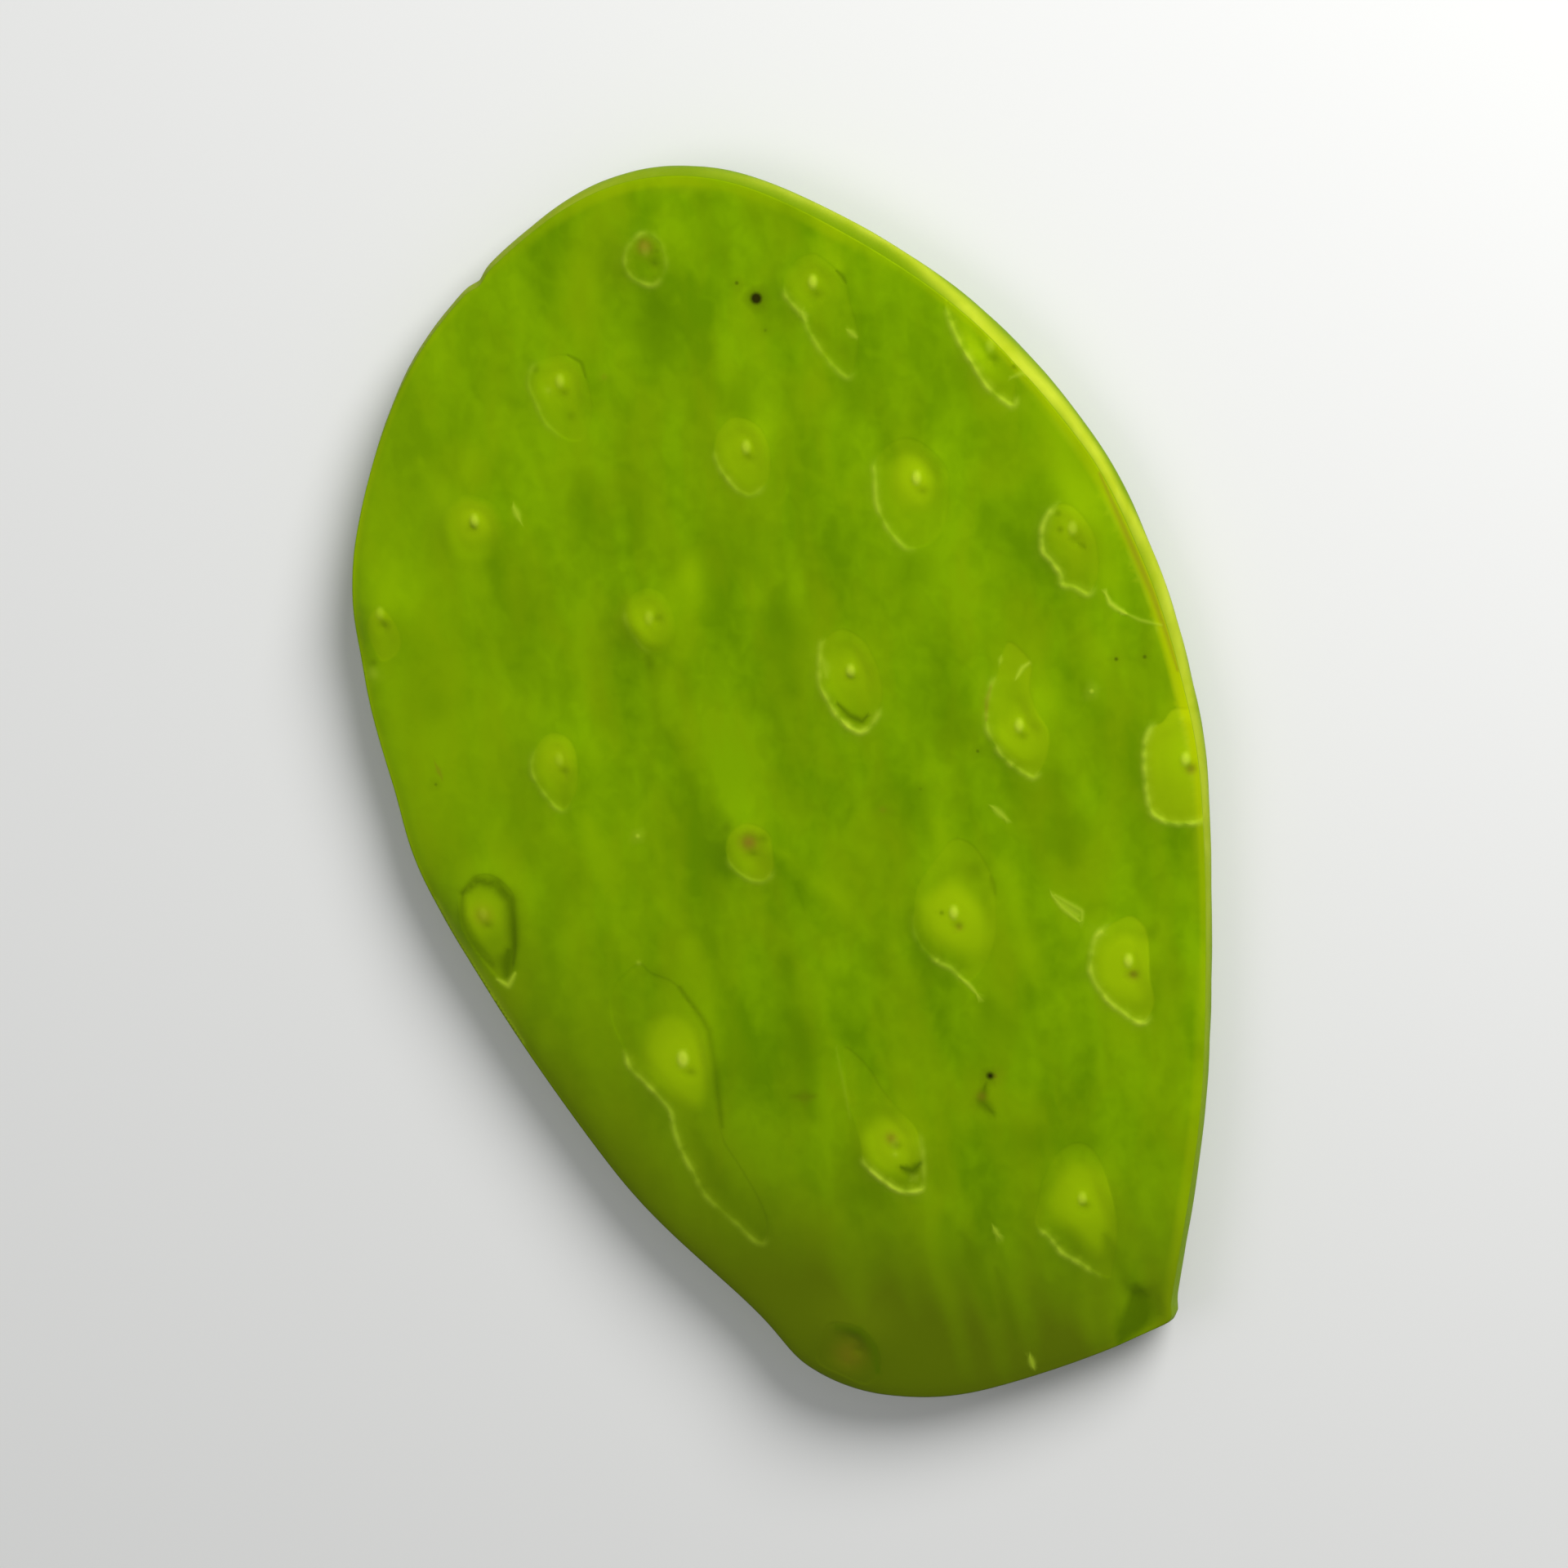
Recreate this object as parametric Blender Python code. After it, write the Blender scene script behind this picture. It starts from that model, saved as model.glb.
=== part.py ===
"""A prickly pear pad as it is sold: picked, cleaned of its spines with a knife and trimmed round its rim.

Metres, +Z up. The pad lies on one face, with the base that was cut from the plant at -Y and its round tip at
+Y. The origin is below the middle of its outline, on the surface that it lies on. It grew as one piece, so it
is one solid: two skins raised from a triangulated sheet by formulas, joined by the trimmed rim.
"""

import math
import random
from collections import namedtuple

import bmesh
import bpy
import numpy as np
from mathutils import Vector
from mathutils.geometry import delaunay_2d_cdt

# Driving dimensions.
PAD_LENGTH = 0.210
PAD_WIDTH = 0.134
MIDDLE_THICKNESS = 0.0120
RIM_THICKNESS = 0.0075

# The pad's outline from the tip down its right side, as shares of its width and length from the middle.
OUTLINE_KNOTS = (
    (0.00, 0.500), (0.144, 0.464), (0.34, 0.354), (0.454, 0.226), (0.49, 0.123), (0.50, 0.028),
    (0.489, -0.066), (0.408, -0.289), (0.311, -0.454), (0.288, -0.476), (0.056, -0.500),
    (-0.071, -0.489), (-0.159, -0.455), (-0.208, -0.405), (-0.34, -0.264), (-0.48, -0.019),
    (-0.499, 0.079), (-0.498, 0.170), (-0.462, 0.274), (-0.336, 0.402), (-0.147, 0.480),
)
FINE_OUTLINE = 600  # points of the outline that distances are measured to
RIM_POINTS = 150  # points of the outline that the solid is built on

# How the pad is warped, and how its section runs from the middle to the rim.
REST_GAP = 0.0006  # between the lowest skin and the surface; the areoles below it reach down
TIP_LIFT = 0.0018
SIDE_DROOP = 0.0012
TWIST = 0.0009
LENS_POWER = 2.6
BASE_EXTRA = 0.0018
BASE_REACH = 0.050
SHOULDER_DROP = 0.0005
SHOULDER_REACH = 0.0012
RIM_BULGE = 0.0006
RIM_SLANT = 0.0012  # how far the knife leaned in at the top of the rim
SLANT_SIDE = 50  # degrees from +X, the side where it leaned in most
WAVE_HEIGHT = 0.00025
WAVE_LENGTHS = (0.047, 0.071)

# An areole sits on a soft swelling. The knife has left a shallow scar round it, with a nub in its middle.
SWELL_HEIGHT = 0.0013
SWELL_REACH = 0.0066
SCAR_DEPTH = 0.00040
SCAR_LIP = 0.0005
BOSS_REACH = 0.0046
NUB_HEIGHT = 0.00030
NUB_RADIUS = 0.0010
RIM_MARGIN = 0.0008  # areoles nearer to the rim than this were trimmed away

# Spacing of the points that the skins are triangulated on.
RIM_INSETS = (0.0024, 0.0048)
SKIN_SPACING = 0.0058
SCAR_SPACING = 0.0021

RANDOM_SEED = 7

Cut = namedtuple("Cut", "length width turn down side")
Areole = namedtuple("Areole", "x y cut taper")

# The long cuts of the upper face, by column and row of their areoles. In millimetres: the length, the width,
# and how far down and to the side the cut's middle lies from its areole. The third figure is the angle in
# degrees by which the cut turns towards +X as it runs down.
LONG_CUTS = {
    (1, 0): (23, 10, 3, 6, 1),
    (2, 0): (23, 8, 14, 0, -1),
    (-1, 1): (18, 10, 7, 3, 0),
    (1, 1): (19, 12, -10, 3, 0),
    (0, 2): (18, 10.5, -10, 2, 0.5),
    (1, 2): (23, 10, -4, -2.5, 0.5),
    (2, 2): (19, 11, -2, 2, -2.5),
    (0, 3): (27, 14, -11, 1, 1.5),
    (1, 3): (18, 10, -6, 2, -1),
    (-3, 4): (20, 8.5, -7, 3.5, 1),
    (-2, 4): (52, 15, 6, 7, 0),
    (-1, 4): (26, 10, 8, -5, -1.5),
    (0, 4): (24, 13, -5, 2, 1),
}

# Areoles that grew well off the lattice, also in millimetres.
STRAY_AREOLES = {
    (1, 0): (-1, 3.5), (2, 0): (0, -3), (1, 1): (2, 3), (-2, 2): (1, -3), (-1, 2): (-1, -2.5), (0, 2): (2.5, 0),
    (-3, 3): (2.5, 3.5), (-1, 3): (-2, 2.5), (0, 3): (0.5, 2), (1, 3): (-0.5, 2), (-2, 4): (-3, -3.5),
    (-1, 4): (0, -2), (-2, 5): (3.5, 0),
}
MM = 0.001


def smooth_step(low, high, value):
    share = np.clip((value - low) / (high - low), 0.0, 1.0)
    return share * share * (3.0 - 2.0 * share)


def closed_curve(knots, count):
    """Points spaced evenly along a smooth closed curve through the knots."""
    here = np.array(knots)
    ahead = np.roll(here, -1, axis=0)
    step = np.sqrt(np.linalg.norm(ahead - here, axis=1))
    before = np.roll(here, 1, axis=0)
    slope = (ahead - before) / (step + np.roll(step, 1))[:, None]
    t = np.linspace(0.0, 1.0, 100, endpoint=False)[None, :, None]
    reach = step[:, None, None]
    start, end = here[:, None, :], ahead[:, None, :]
    start_slope, end_slope = slope[:, None, :] * reach, np.roll(slope, -1, axis=0)[:, None, :] * reach
    curve = (
        (2 * t**3 - 3 * t**2 + 1) * start
        + (t**3 - 2 * t**2 + t) * start_slope
        + (3 * t**2 - 2 * t**3) * end
        + (t**3 - t**2) * end_slope
    ).reshape(-1, 2)
    closed = np.vstack([curve, curve[:1]])
    run = np.concatenate([[0.0], np.cumsum(np.linalg.norm(np.diff(closed, axis=0), axis=1))])
    wanted = np.linspace(0.0, run[-1], count, endpoint=False)
    return np.stack([np.interp(wanted, run, closed[:, axis]) for axis in (0, 1)], axis=1)


def pad_outline(count):
    """The pad's outline, counter-clockwise, filling the pad's width and length about the origin."""
    fine = closed_curve(OUTLINE_KNOTS, FINE_OUTLINE)
    low, high = fine.min(axis=0), fine.max(axis=0)
    size = np.array([PAD_WIDTH - 2 * RIM_BULGE, PAD_LENGTH - 2 * RIM_BULGE])
    knots = (np.array(OUTLINE_KNOTS) - (low + high) / 2) * size / (high - low)
    return closed_curve(knots, count)[::-1]


FINE_EDGE = pad_outline(FINE_OUTLINE)


def radius_share(x, y):
    """0 at the middle of the pad and 1 on its outline."""
    angles = np.arctan2(FINE_EDGE[:, 1], FINE_EDGE[:, 0])
    order = np.argsort(angles)
    radii = np.linalg.norm(FINE_EDGE, axis=1)[order]
    return np.hypot(x, y) / np.interp(np.arctan2(y, x), angles[order], radii, period=math.tau)


def edge_distance(x, y, edge=FINE_EDGE):
    """Distance to an outline from inside it, less than 0 outside it."""
    along = np.roll(edge, -1, axis=0) - edge
    offset = np.stack([x, y], axis=1)[:, None, :] - edge
    share = np.clip((offset * along).sum(axis=2) / (along**2).sum(axis=1), 0.0, 1.0)
    away = np.linalg.norm(offset - share[:, :, None] * along, axis=2)
    nearest = away.argmin(axis=1)
    rows = np.arange(len(away))
    inner = along[nearest, 0] * offset[rows, nearest, 1] - along[nearest, 1] * offset[rows, nearest, 0]
    return np.where(inner >= 0, away[rows, nearest], -away[rows, nearest])


def lattice_place(column, row):
    """Where an areole grows: columns run across the pad and rows down it, both along slow curves."""
    x = -0.0003 + 0.0245 * column + 0.0040 * row + 0.00101 * column * row + 0.00097 * row**2
    y = 0.0922 - 0.0164 * column - 0.0313 * row - 0.00266 * row**2 + 0.00208 * column**2
    return x - 0.00009 * column**2, y + 0.00013 * column * row


def scattered_cut(draw):
    """An ordinary scar."""
    length = draw.uniform(9, 15)
    return Cut(length, length * draw.uniform(0.68, 0.88), draw.uniform(-18, 4), draw.uniform(0, 2), 0)


def areoles(face):
    """The areoles of the upper or the lower face, where its lattice lies inside the outline."""
    draw = random.Random(RANDOM_SEED + (face == "lower"))
    found = []
    for row in range(-1, 7):
        for column in range(-5, 5):
            cut, taper = scattered_cut(draw), draw.uniform(0.05, 0.30)
            if face == "upper":
                x, y = lattice_place(column, row)
                aside, along = STRAY_AREOLES.get((column, row), (0, 0))
                x, y = x + aside * MM, y + along * MM
                cut = Cut(*LONG_CUTS.get((column, row), cut))
            else:
                x, y = lattice_place(column + 0.45, row + 0.40)
                x = -x
            if edge_distance([x], [y])[0] > RIM_MARGIN:
                length, width, turn, down, side = cut
                found.append(Areole(x, y, Cut(length * MM, width * MM, turn, down * MM, side * MM), taper))
    return found


def scar_point(areole, angle, grown):
    """A point of the scar's outline, moved outwards by grown."""
    cut = areole.cut
    down = cut.down + math.cos(angle) * (cut.length / 2 + grown)
    side = cut.side + math.sin(angle) * (cut.width / 2 * (1 + areole.taper * math.cos(angle)) + grown)
    sine, cosine = math.sin(math.radians(cut.turn)), math.cos(math.radians(cut.turn))
    return areole.x + down * sine + side * cosine, areole.y - down * cosine + side * sine


def scar_inset(areole, x, y):
    """How far inside the scar's outline a place lies, about; less than 0 outside it."""
    cut = areole.cut
    dx, dy = x - areole.x, y - areole.y
    sine, cosine = math.sin(math.radians(cut.turn)), math.cos(math.radians(cut.turn))
    along = (dx * sine - dy * cosine - cut.down) / (cut.length / 2)
    narrowing = np.clip(1 + areole.taper * along, 0.5, 1.5)
    across = (dx * cosine + dy * sine - cut.side) / (cut.width / 2 * narrowing)
    share = np.maximum(np.hypot(along, across), 1e-6)
    pull = np.hypot(along / (cut.length / 2), across / (cut.width / 2)) / share
    return (1 - share) / np.maximum(pull, 1.0)


def relief(places, x, y):
    """How far the skin stands out over each areole, sinks in its scar and rises to its nub."""
    height = np.zeros_like(x)
    for areole in places:
        from_middle = np.hypot(x - areole.x, y - areole.y)
        swell = SWELL_HEIGHT * np.exp(-((from_middle / SWELL_REACH) ** 2))
        cut = smooth_step(0.0, SCAR_LIP, scar_inset(areole, x, y))
        boss = 0.75 * np.exp(-((from_middle / BOSS_REACH) ** 2))
        nub = NUB_HEIGHT * (1 - smooth_step(0.4 * NUB_RADIUS, 1.2 * NUB_RADIUS, from_middle))
        height += swell - SCAR_DEPTH * cut * (1 - boss) + nub
    return height


def half_thickness(x, y):
    share = np.minimum(radius_share(x, y), 1.0)
    half = RIM_THICKNESS / 2 + (MIDDLE_THICKNESS - RIM_THICKNESS) / 2 * (1 - share**LENS_POWER)
    at_base = smooth_step(BASE_REACH, 0.0, y + PAD_LENGTH / 2)
    shoulder = SHOULDER_DROP * np.exp(-np.maximum(edge_distance(x, y), 0.0) / SHOULDER_REACH)
    return half + BASE_EXTRA / 2 * at_base - shoulder


def middle_height(x, y):
    """Height of the surface midway between the two skins: tip and base lift, the sides droop a little."""
    across, along = x / (PAD_WIDTH / 2), y / (PAD_LENGTH / 2)
    wave = np.sin(math.tau * x / WAVE_LENGTHS[0] + 1.0) * np.cos(math.tau * y / WAVE_LENGTHS[1])
    warp = TIP_LIFT * along**2 - SIDE_DROOP * across**2 + TWIST * across * along
    return REST_GAP + MIDDLE_THICKNESS / 2 + warp + WAVE_HEIGHT * wave


def skin_height(face, places, x, y):
    """Height of one skin. Where an areole below would reach past the surface, it is pressed flat on it."""
    if face == "upper":
        return middle_height(x, y) + half_thickness(x, y) + relief(places, x, y)
    return np.maximum(middle_height(x, y) - half_thickness(x, y) - relief(places, x, y), 0.0)


def inset_ring(edge, distance):
    """The outline moved inwards by a distance, the same all round or one for each point."""
    along = np.roll(edge, -1, axis=0) - np.roll(edge, 1, axis=0)
    outwards = np.stack([along[:, 1], -along[:, 0]], axis=1) / np.linalg.norm(along, axis=1)[:, None]
    return edge - np.broadcast_to(distance, len(edge))[:, None] * outwards


def slanted(edge):
    """The top of the rim, where the knife leaned in towards one side of the pad."""
    side = math.radians(SLANT_SIDE)
    facing = (edge @ (math.cos(side), math.sin(side))) / np.linalg.norm(edge, axis=1)
    return inset_ring(edge, RIM_SLANT * np.clip(facing, 0.15, 1.0) ** 2)


def ring_points(areole):
    """Points on and round an areole, each with the room that it needs."""
    points = [(areole.x, areole.y, 0.0)]
    for turn in range(6):
        angle = math.tau * turn / 6
        away = 1.2 * NUB_RADIUS
        points.append((areole.x + away * math.cos(angle), areole.y + away * math.sin(angle), 0.0006))
    girth = math.pi * (areole.cut.length + areole.cut.width) / 2
    for grown, spacing, room in (
        (0.0, 1.0, 0.0009), (-SCAR_LIP, 1.0, 0.0003), (0.0026, 1.7, 0.0025), (-0.0024, 1.4, 0.0016)
    ):
        count = max(8, round(girth / SCAR_SPACING / spacing))
        for index in range(count):
            points.append((*scar_point(areole, math.tau * index / count, grown), room))
    return points


def skin_points(places, edge):
    """Points of one skin inside its outline: rings by the rim and round each areole, and a grid between."""
    wanted = []
    for distance in RIM_INSETS:
        wanted += [(x, y, 0.0006) for x, y in inset_ring(edge, distance)]
    for areole in places:
        wanted += ring_points(areole)
    row_step = SKIN_SPACING * math.sqrt(3) / 2
    for row in range(-20, 21):
        for column in range(-12, 13):
            x = (column + 0.5 * (row % 2)) * SKIN_SPACING
            wanted.append((x, row * row_step, 0.62 * SKIN_SPACING))
    distances = edge_distance([x for x, _, _ in wanted], [y for _, y, _ in wanted], edge)
    kept = np.array(edge)
    for (x, y, room), distance in zip(wanted, distances):
        if distance < 0.0008 or np.hypot(kept[:, 0] - x, kept[:, 1] - y).min() < max(room, 0.0003):
            continue
        kept = np.vstack([kept, (x, y)])
    return kept


def triangles_inside(points, edge_count):
    """Delaunay triangles of the points, inside the outline that the first of them run round."""
    border = [(index, (index + 1) % edge_count) for index in range(edge_count)]
    flat = [Vector((x, y)) for x, y in points]
    _, _, triangles, sources, _, _ = delaunay_2d_cdt(flat, border, [], 0, 1e-9, True)
    inside = []
    for triangle in triangles:
        corners = [sources[index][0] for index in triangle]
        turns = (corners.index(min(corners)) - corners.index(max(corners))) % 3
        if max(corners) >= edge_count or turns == 1:
            inside.append(corners)
    return inside


def add_skin(mesh, face, edge):
    """Triangulates one skin's sheet and lifts it to its heights. Returns its vertices along the outline."""
    places = areoles(face)
    points = skin_points(places, edge)
    heights = skin_height(face, places, points[:, 0], points[:, 1])
    vertices = [mesh.verts.new((x, y, z)) for (x, y), z in zip(points, heights)]
    for triangle in triangles_inside(points, len(edge)):
        turned = triangle if face == "upper" else reversed(triangle)
        mesh.faces.new([vertices[index] for index in turned])
    return vertices[:len(edge)]


def add_rim(mesh, upper, lower, edge):
    """The trimmed rim: the two skins' edges, joined over a low bulge."""
    bulge = inset_ring(edge, -RIM_BULGE)
    middle = []
    for (x, y), above, below in zip(bulge, upper, lower):
        middle.append(mesh.verts.new((x, y, (above.co.z + below.co.z) / 2)))
    for above, below in ((upper, middle), (middle, lower)):
        for index in range(len(edge)):
            after = (index + 1) % len(edge)
            mesh.faces.new((above[index], below[index], below[after], above[after]))


def pad_material():
    material = bpy.data.materials.new("pad_skin")
    material.use_nodes = True
    shader = material.node_tree.nodes["Principled BSDF"]
    shader.inputs["Base Color"].default_value = (0.165, 0.310, 0.006, 1.0)
    shader.inputs["Roughness"].default_value = 0.42
    shader.inputs["Metallic"].default_value = 0.0
    return material


def make_pad(collection):
    mesh = bmesh.new()
    edge = pad_outline(RIM_POINTS)
    upper = add_skin(mesh, "upper", slanted(edge))
    lower = add_skin(mesh, "lower", edge)
    add_rim(mesh, upper, lower, edge)
    bmesh.ops.triangulate(mesh, faces=[face for face in mesh.faces if len(face.verts) > 3])
    data = bpy.data.meshes.new("pad")
    mesh.to_mesh(data)
    mesh.free()
    data.shade_smooth()
    data.set_sharp_from_angle(angle=math.radians(40))
    data.materials.append(pad_material())
    collection.objects.link(bpy.data.objects.new("pad", data))


def main():
    for old in list(bpy.data.objects):
        bpy.data.objects.remove(old)
    collection = bpy.data.collections.new("prickly_pear_pad")
    bpy.context.scene.collection.children.link(collection)
    make_pad(collection)


main()
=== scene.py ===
import math
import random

import bpy
import numpy as np
from mathutils import Matrix, Vector, noise
from mathutils.geometry import delaunay_2d_cdt
from mathutils.kdtree import KDTree


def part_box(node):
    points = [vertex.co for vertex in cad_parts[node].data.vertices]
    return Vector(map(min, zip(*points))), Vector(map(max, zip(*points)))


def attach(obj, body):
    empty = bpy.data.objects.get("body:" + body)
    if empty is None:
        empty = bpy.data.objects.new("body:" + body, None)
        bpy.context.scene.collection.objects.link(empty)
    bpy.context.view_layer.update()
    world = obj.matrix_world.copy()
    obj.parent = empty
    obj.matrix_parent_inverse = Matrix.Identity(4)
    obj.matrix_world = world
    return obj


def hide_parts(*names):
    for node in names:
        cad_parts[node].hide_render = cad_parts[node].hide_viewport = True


# The looks of a prickly pear pad that was cleaned of its spines and trimmed with a knife.
# The pad is one closed mesh. Its sizes and places are in millimetres until the mesh is made.

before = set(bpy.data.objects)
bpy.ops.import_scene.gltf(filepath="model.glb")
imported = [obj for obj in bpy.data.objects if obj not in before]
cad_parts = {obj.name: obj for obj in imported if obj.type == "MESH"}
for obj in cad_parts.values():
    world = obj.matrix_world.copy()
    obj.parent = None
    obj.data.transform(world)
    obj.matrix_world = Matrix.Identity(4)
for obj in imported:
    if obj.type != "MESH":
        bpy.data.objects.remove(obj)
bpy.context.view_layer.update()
toMetres = 0.001
padLow, padHigh = (np.array(corner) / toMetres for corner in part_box("pad"))
padSize = padHigh - padLow
print("frame loaded, the pad is %.1f x %.1f x %.1f mm" % tuple(padSize))


def easeStep(low, high, value):
    share = np.clip((value - low) / (high - low), 0.0, 1.0)
    return share * share * (3.0 - 2.0 * share)


def hump(distance, reach):
    return np.exp(-((distance / reach) ** 2))


def turned(degrees):
    return math.sin(math.radians(degrees)), math.cos(math.radians(degrees))


def softNoise(x, y, size, stretch=1.0, seed=0.0):
    # smooth noise from about -1 to 1, drawn out along the pad by stretch
    rows = zip(x / size, y / (size * stretch))
    return np.array([noise.noise((u + seed, v - seed, 7.3 * seed)) for u, v in rows])


def ringNoise(angle, seed):
    # a wobble round a closed outline, about -1 to 1
    draw = random.Random(seed)
    total = np.zeros_like(angle)
    for wave in range(2, 8):
        height = math.sin(draw.uniform(0, math.tau))
        total += height * np.cos(wave * angle + draw.uniform(0, math.tau)) / wave**0.7
    return total


padShape = {
    "middleThickness": 12.0,
    "rimThickness": 7.5,
    "restGap": 0.6,
    "tipLift": 1.8,
    "sideDroop": (-0.5, 1.2),  # at the left and right side
    "twist": 0.9,
    "lensPower": 2.6,
    "baseExtra": 1.8,
    "baseReach": 50.0,
    "shoulderDrop": 0.5,
    "shoulderReach": 1.2,
    "waveHeight": 0.25,
    "waveLengths": (47.0, 71.0),
    "rippleHeight": 0.10,
    "rippleSize": (8, 2.6),  # and how far it is drawn out along the pad
    "rippleSeeds": {"upper": 3.1, "lower": 11.7},
    "rippleFade": 6,  # from the rim inwards
    "rimBulge": 0.6,
    "rimSlant": 1.2,  # how far the knife leaned in at the top of the rim
    "slantSide": 50,  # degrees from +X, the side where it leaned in most
    "leastLean": 0.15,
    "overhang": 0.5,  # how far the top of the rim stands out on the left
    "overhangFacing": (0.4, 0.85),  # how squarely the rim faces left where that starts and is full
    "knifeWobble": 0.16,
    "notch": (-30.5, 93.0, 1.1, 1.7),  # x, y, depth and half width of a nick beside the tip
    "rimPoints": 720,
    "rimRows": 12,
    "rimEnds": (0.025, 0.975),  # first and last row, as shares of the rim's height
    "scrapeHeight": 0.05,
    "slantExtra": 0.08,
    "slantWobble": 0.4,
    "wobbleSeed": 21,
    "scrapeSeed": 31,
    "baseCut": (-11, 39.5, -93),  # from which x to which, and below which y, the rim is the cut at the base
    "baseCutEdges": ((-4, 3), (1, -0.3), (1, -1)),  # how softly it starts and ends there
}

# The outline, in shares of the pad's width and length from its middle, from the tip down the right side.
outlineKnots = (
    (0.00, 0.500), (0.1455, 0.4665), (0.338, 0.3525), (0.4505, 0.225), (0.49, 0.123), (0.50, 0.028),
    (0.489, -0.066), (0.408, -0.289), (0.311, -0.454), (0.288, -0.476), (0.056, -0.500), (-0.071, -0.489),
    (-0.159, -0.455), (-0.208, -0.405), (-0.3455, -0.267), (-0.485, -0.0195), (-0.499, 0.079),
    (-0.498, 0.170), (-0.464, 0.276), (-0.336, 0.402), (-0.147, 0.480),
)


def closedCurve(knots, count):
    here = np.array(knots, float)
    ahead = np.roll(here, -1, axis=0)
    step = np.sqrt(np.linalg.norm(ahead - here, axis=1))
    slope = (ahead - np.roll(here, 1, axis=0)) / (step + np.roll(step, 1))[:, None]
    t = np.linspace(0.0, 1.0, 100, endpoint=False)[None, :, None]
    reach = step[:, None, None]
    startSlope = slope[:, None, :] * reach
    endSlope = np.roll(slope, -1, axis=0)[:, None, :] * reach
    curve = (2 * t**3 - 3 * t**2 + 1) * here[:, None, :] + (t**3 - 2 * t**2 + t) * startSlope
    curve = curve + (3 * t**2 - 2 * t**3) * ahead[:, None, :] + (t**3 - t**2) * endSlope
    curve = curve.reshape(-1, 2)
    closed = np.vstack([curve, curve[:1]])
    run = np.concatenate([[0.0], np.cumsum(np.linalg.norm(np.diff(closed, axis=0), axis=1))])
    wanted = np.linspace(0.0, run[-1], count, endpoint=False)
    return np.stack([np.interp(wanted, run, closed[:, axis]) for axis in (0, 1)], axis=1)


def padOutline(count):
    # counter-clockwise, and filling the frame's box once the rim bulges out
    fine = closedCurve(outlineKnots, 600)
    low, high = fine.min(axis=0), fine.max(axis=0)
    size = padSize[:2] - 2 * padShape["rimBulge"]
    knots = (np.array(outlineKnots) - (low + high) / 2) * size / (high - low)
    return closedCurve(knots, count)[::-1]


def insetRing(edge, distance):
    along = np.roll(edge, -1, axis=0) - np.roll(edge, 1, axis=0)
    outwards = np.stack([along[:, 1], -along[:, 0]], axis=1) / np.linalg.norm(along, axis=1)[:, None]
    return edge - np.broadcast_to(distance, len(edge))[:, None] * outwards


def edgePlace(x, y, edge):
    # distance to a closed outline, less than 0 outside it, and the number of its nearest point
    along = np.roll(edge, -1, axis=0) - edge
    lengths = (along**2).sum(axis=1)
    distances, numbers = [np.zeros(0)], [np.zeros(0, int)]
    for start in range(0, len(x), 2000):
        points = np.stack([x[start:start + 2000], y[start:start + 2000]], axis=1)
        offset = points[:, None, :] - edge
        share = np.clip((offset * along).sum(axis=2) / lengths, 0.0, 1.0)
        away = np.linalg.norm(offset - share[:, :, None] * along, axis=2)
        nearest = away.argmin(axis=1)
        rows = np.arange(len(points))
        near = offset[rows, nearest]
        inner = along[nearest, 0] * near[:, 1] - along[nearest, 1] * near[:, 0]
        distances.append(np.where(inner >= 0, away[rows, nearest], -away[rows, nearest]))
        numbers.append(nearest)
    return np.concatenate(distances), np.concatenate(numbers)


plainEdge = padOutline(600)
edgeTurns = np.arctan2(plainEdge[:, 1], plainEdge[:, 0])
edgeOrder = np.argsort(edgeTurns)
edgeRadii = np.linalg.norm(plainEdge, axis=1)[edgeOrder]


def radiusShare(x, y):
    # 0 in the middle of the pad and 1 on its outline
    return np.hypot(x, y) / np.interp(np.arctan2(y, x), edgeTurns[edgeOrder], edgeRadii, period=math.tau)


areoleShape = {
    "swellHeight": 1.7,
    "swellReach": 5.8,
    "cutDepth": 0.07,  # how far a cut lies below the skin at its outline
    "flattenReach": 2.8,  # how far inside the outline the cut becomes flat
    "wall": (-0.06, 0.42),  # where the wall of a cut starts and ends, from its outline inwards
    "bossHeight": 0.24,
    "bossEdge": (-1.8, 1.6),
    "bossShares": (0.3, 0.4, 0.45),  # the glow left round a boss, what its inside adds, and its even tint
    "glowEdge": (-0.4, 1.7),  # the soft edge of a glow that has no outline of its own
    "nubHeight": 0.24,
    "nubSize": (0.85, 1.30),
    "nubEdge": (0.35, 1.15),
    "nubLean": 14,  # degrees towards +X
    "dimpleDepth": 0.17,
    "dimpleReach": 0.78,
    "dimpleWiden": 0.85,
    "lipHeight": 0.16,
    "lipOut": 0.05,
    "lipWidth": 0.52,
    "bandIn": 0.5,  # a faint pale band inside the lip
    "bandWidth": 1.3,
    "bandPaleness": 0.22,
    "lipFade": 4,  # points of the outline
    "lipBreaks": (1.4, 0.85, 0.9),  # size of the breaks, the lip's usual strength and how much it changes
    "lipRange": (0.15, 1.25),
    "outlineStep": 0.35,
    "rimMargin": 0.8,
    "reachPastCut": 3,
    "swellReaches": 2.6,
    "strokeRelief": {"dark": -0.08, "pale": 0.08, "brown": 0.0},
    "markRelief": 0.09,
    "fineStroke": 0.7,  # a stroke narrower than this is also raised or sunk
    "patches": (5, 1.6, 5.5),  # size, stretch and seed of the soft marks' unevenness
    "rows": range(-1, 7),
    "columns": range(-5, 5),
    "lowerShift": (0.45, 0.40),  # of the lower face's lattice, in columns and rows
    "lowerSeed": 8,
}

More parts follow.
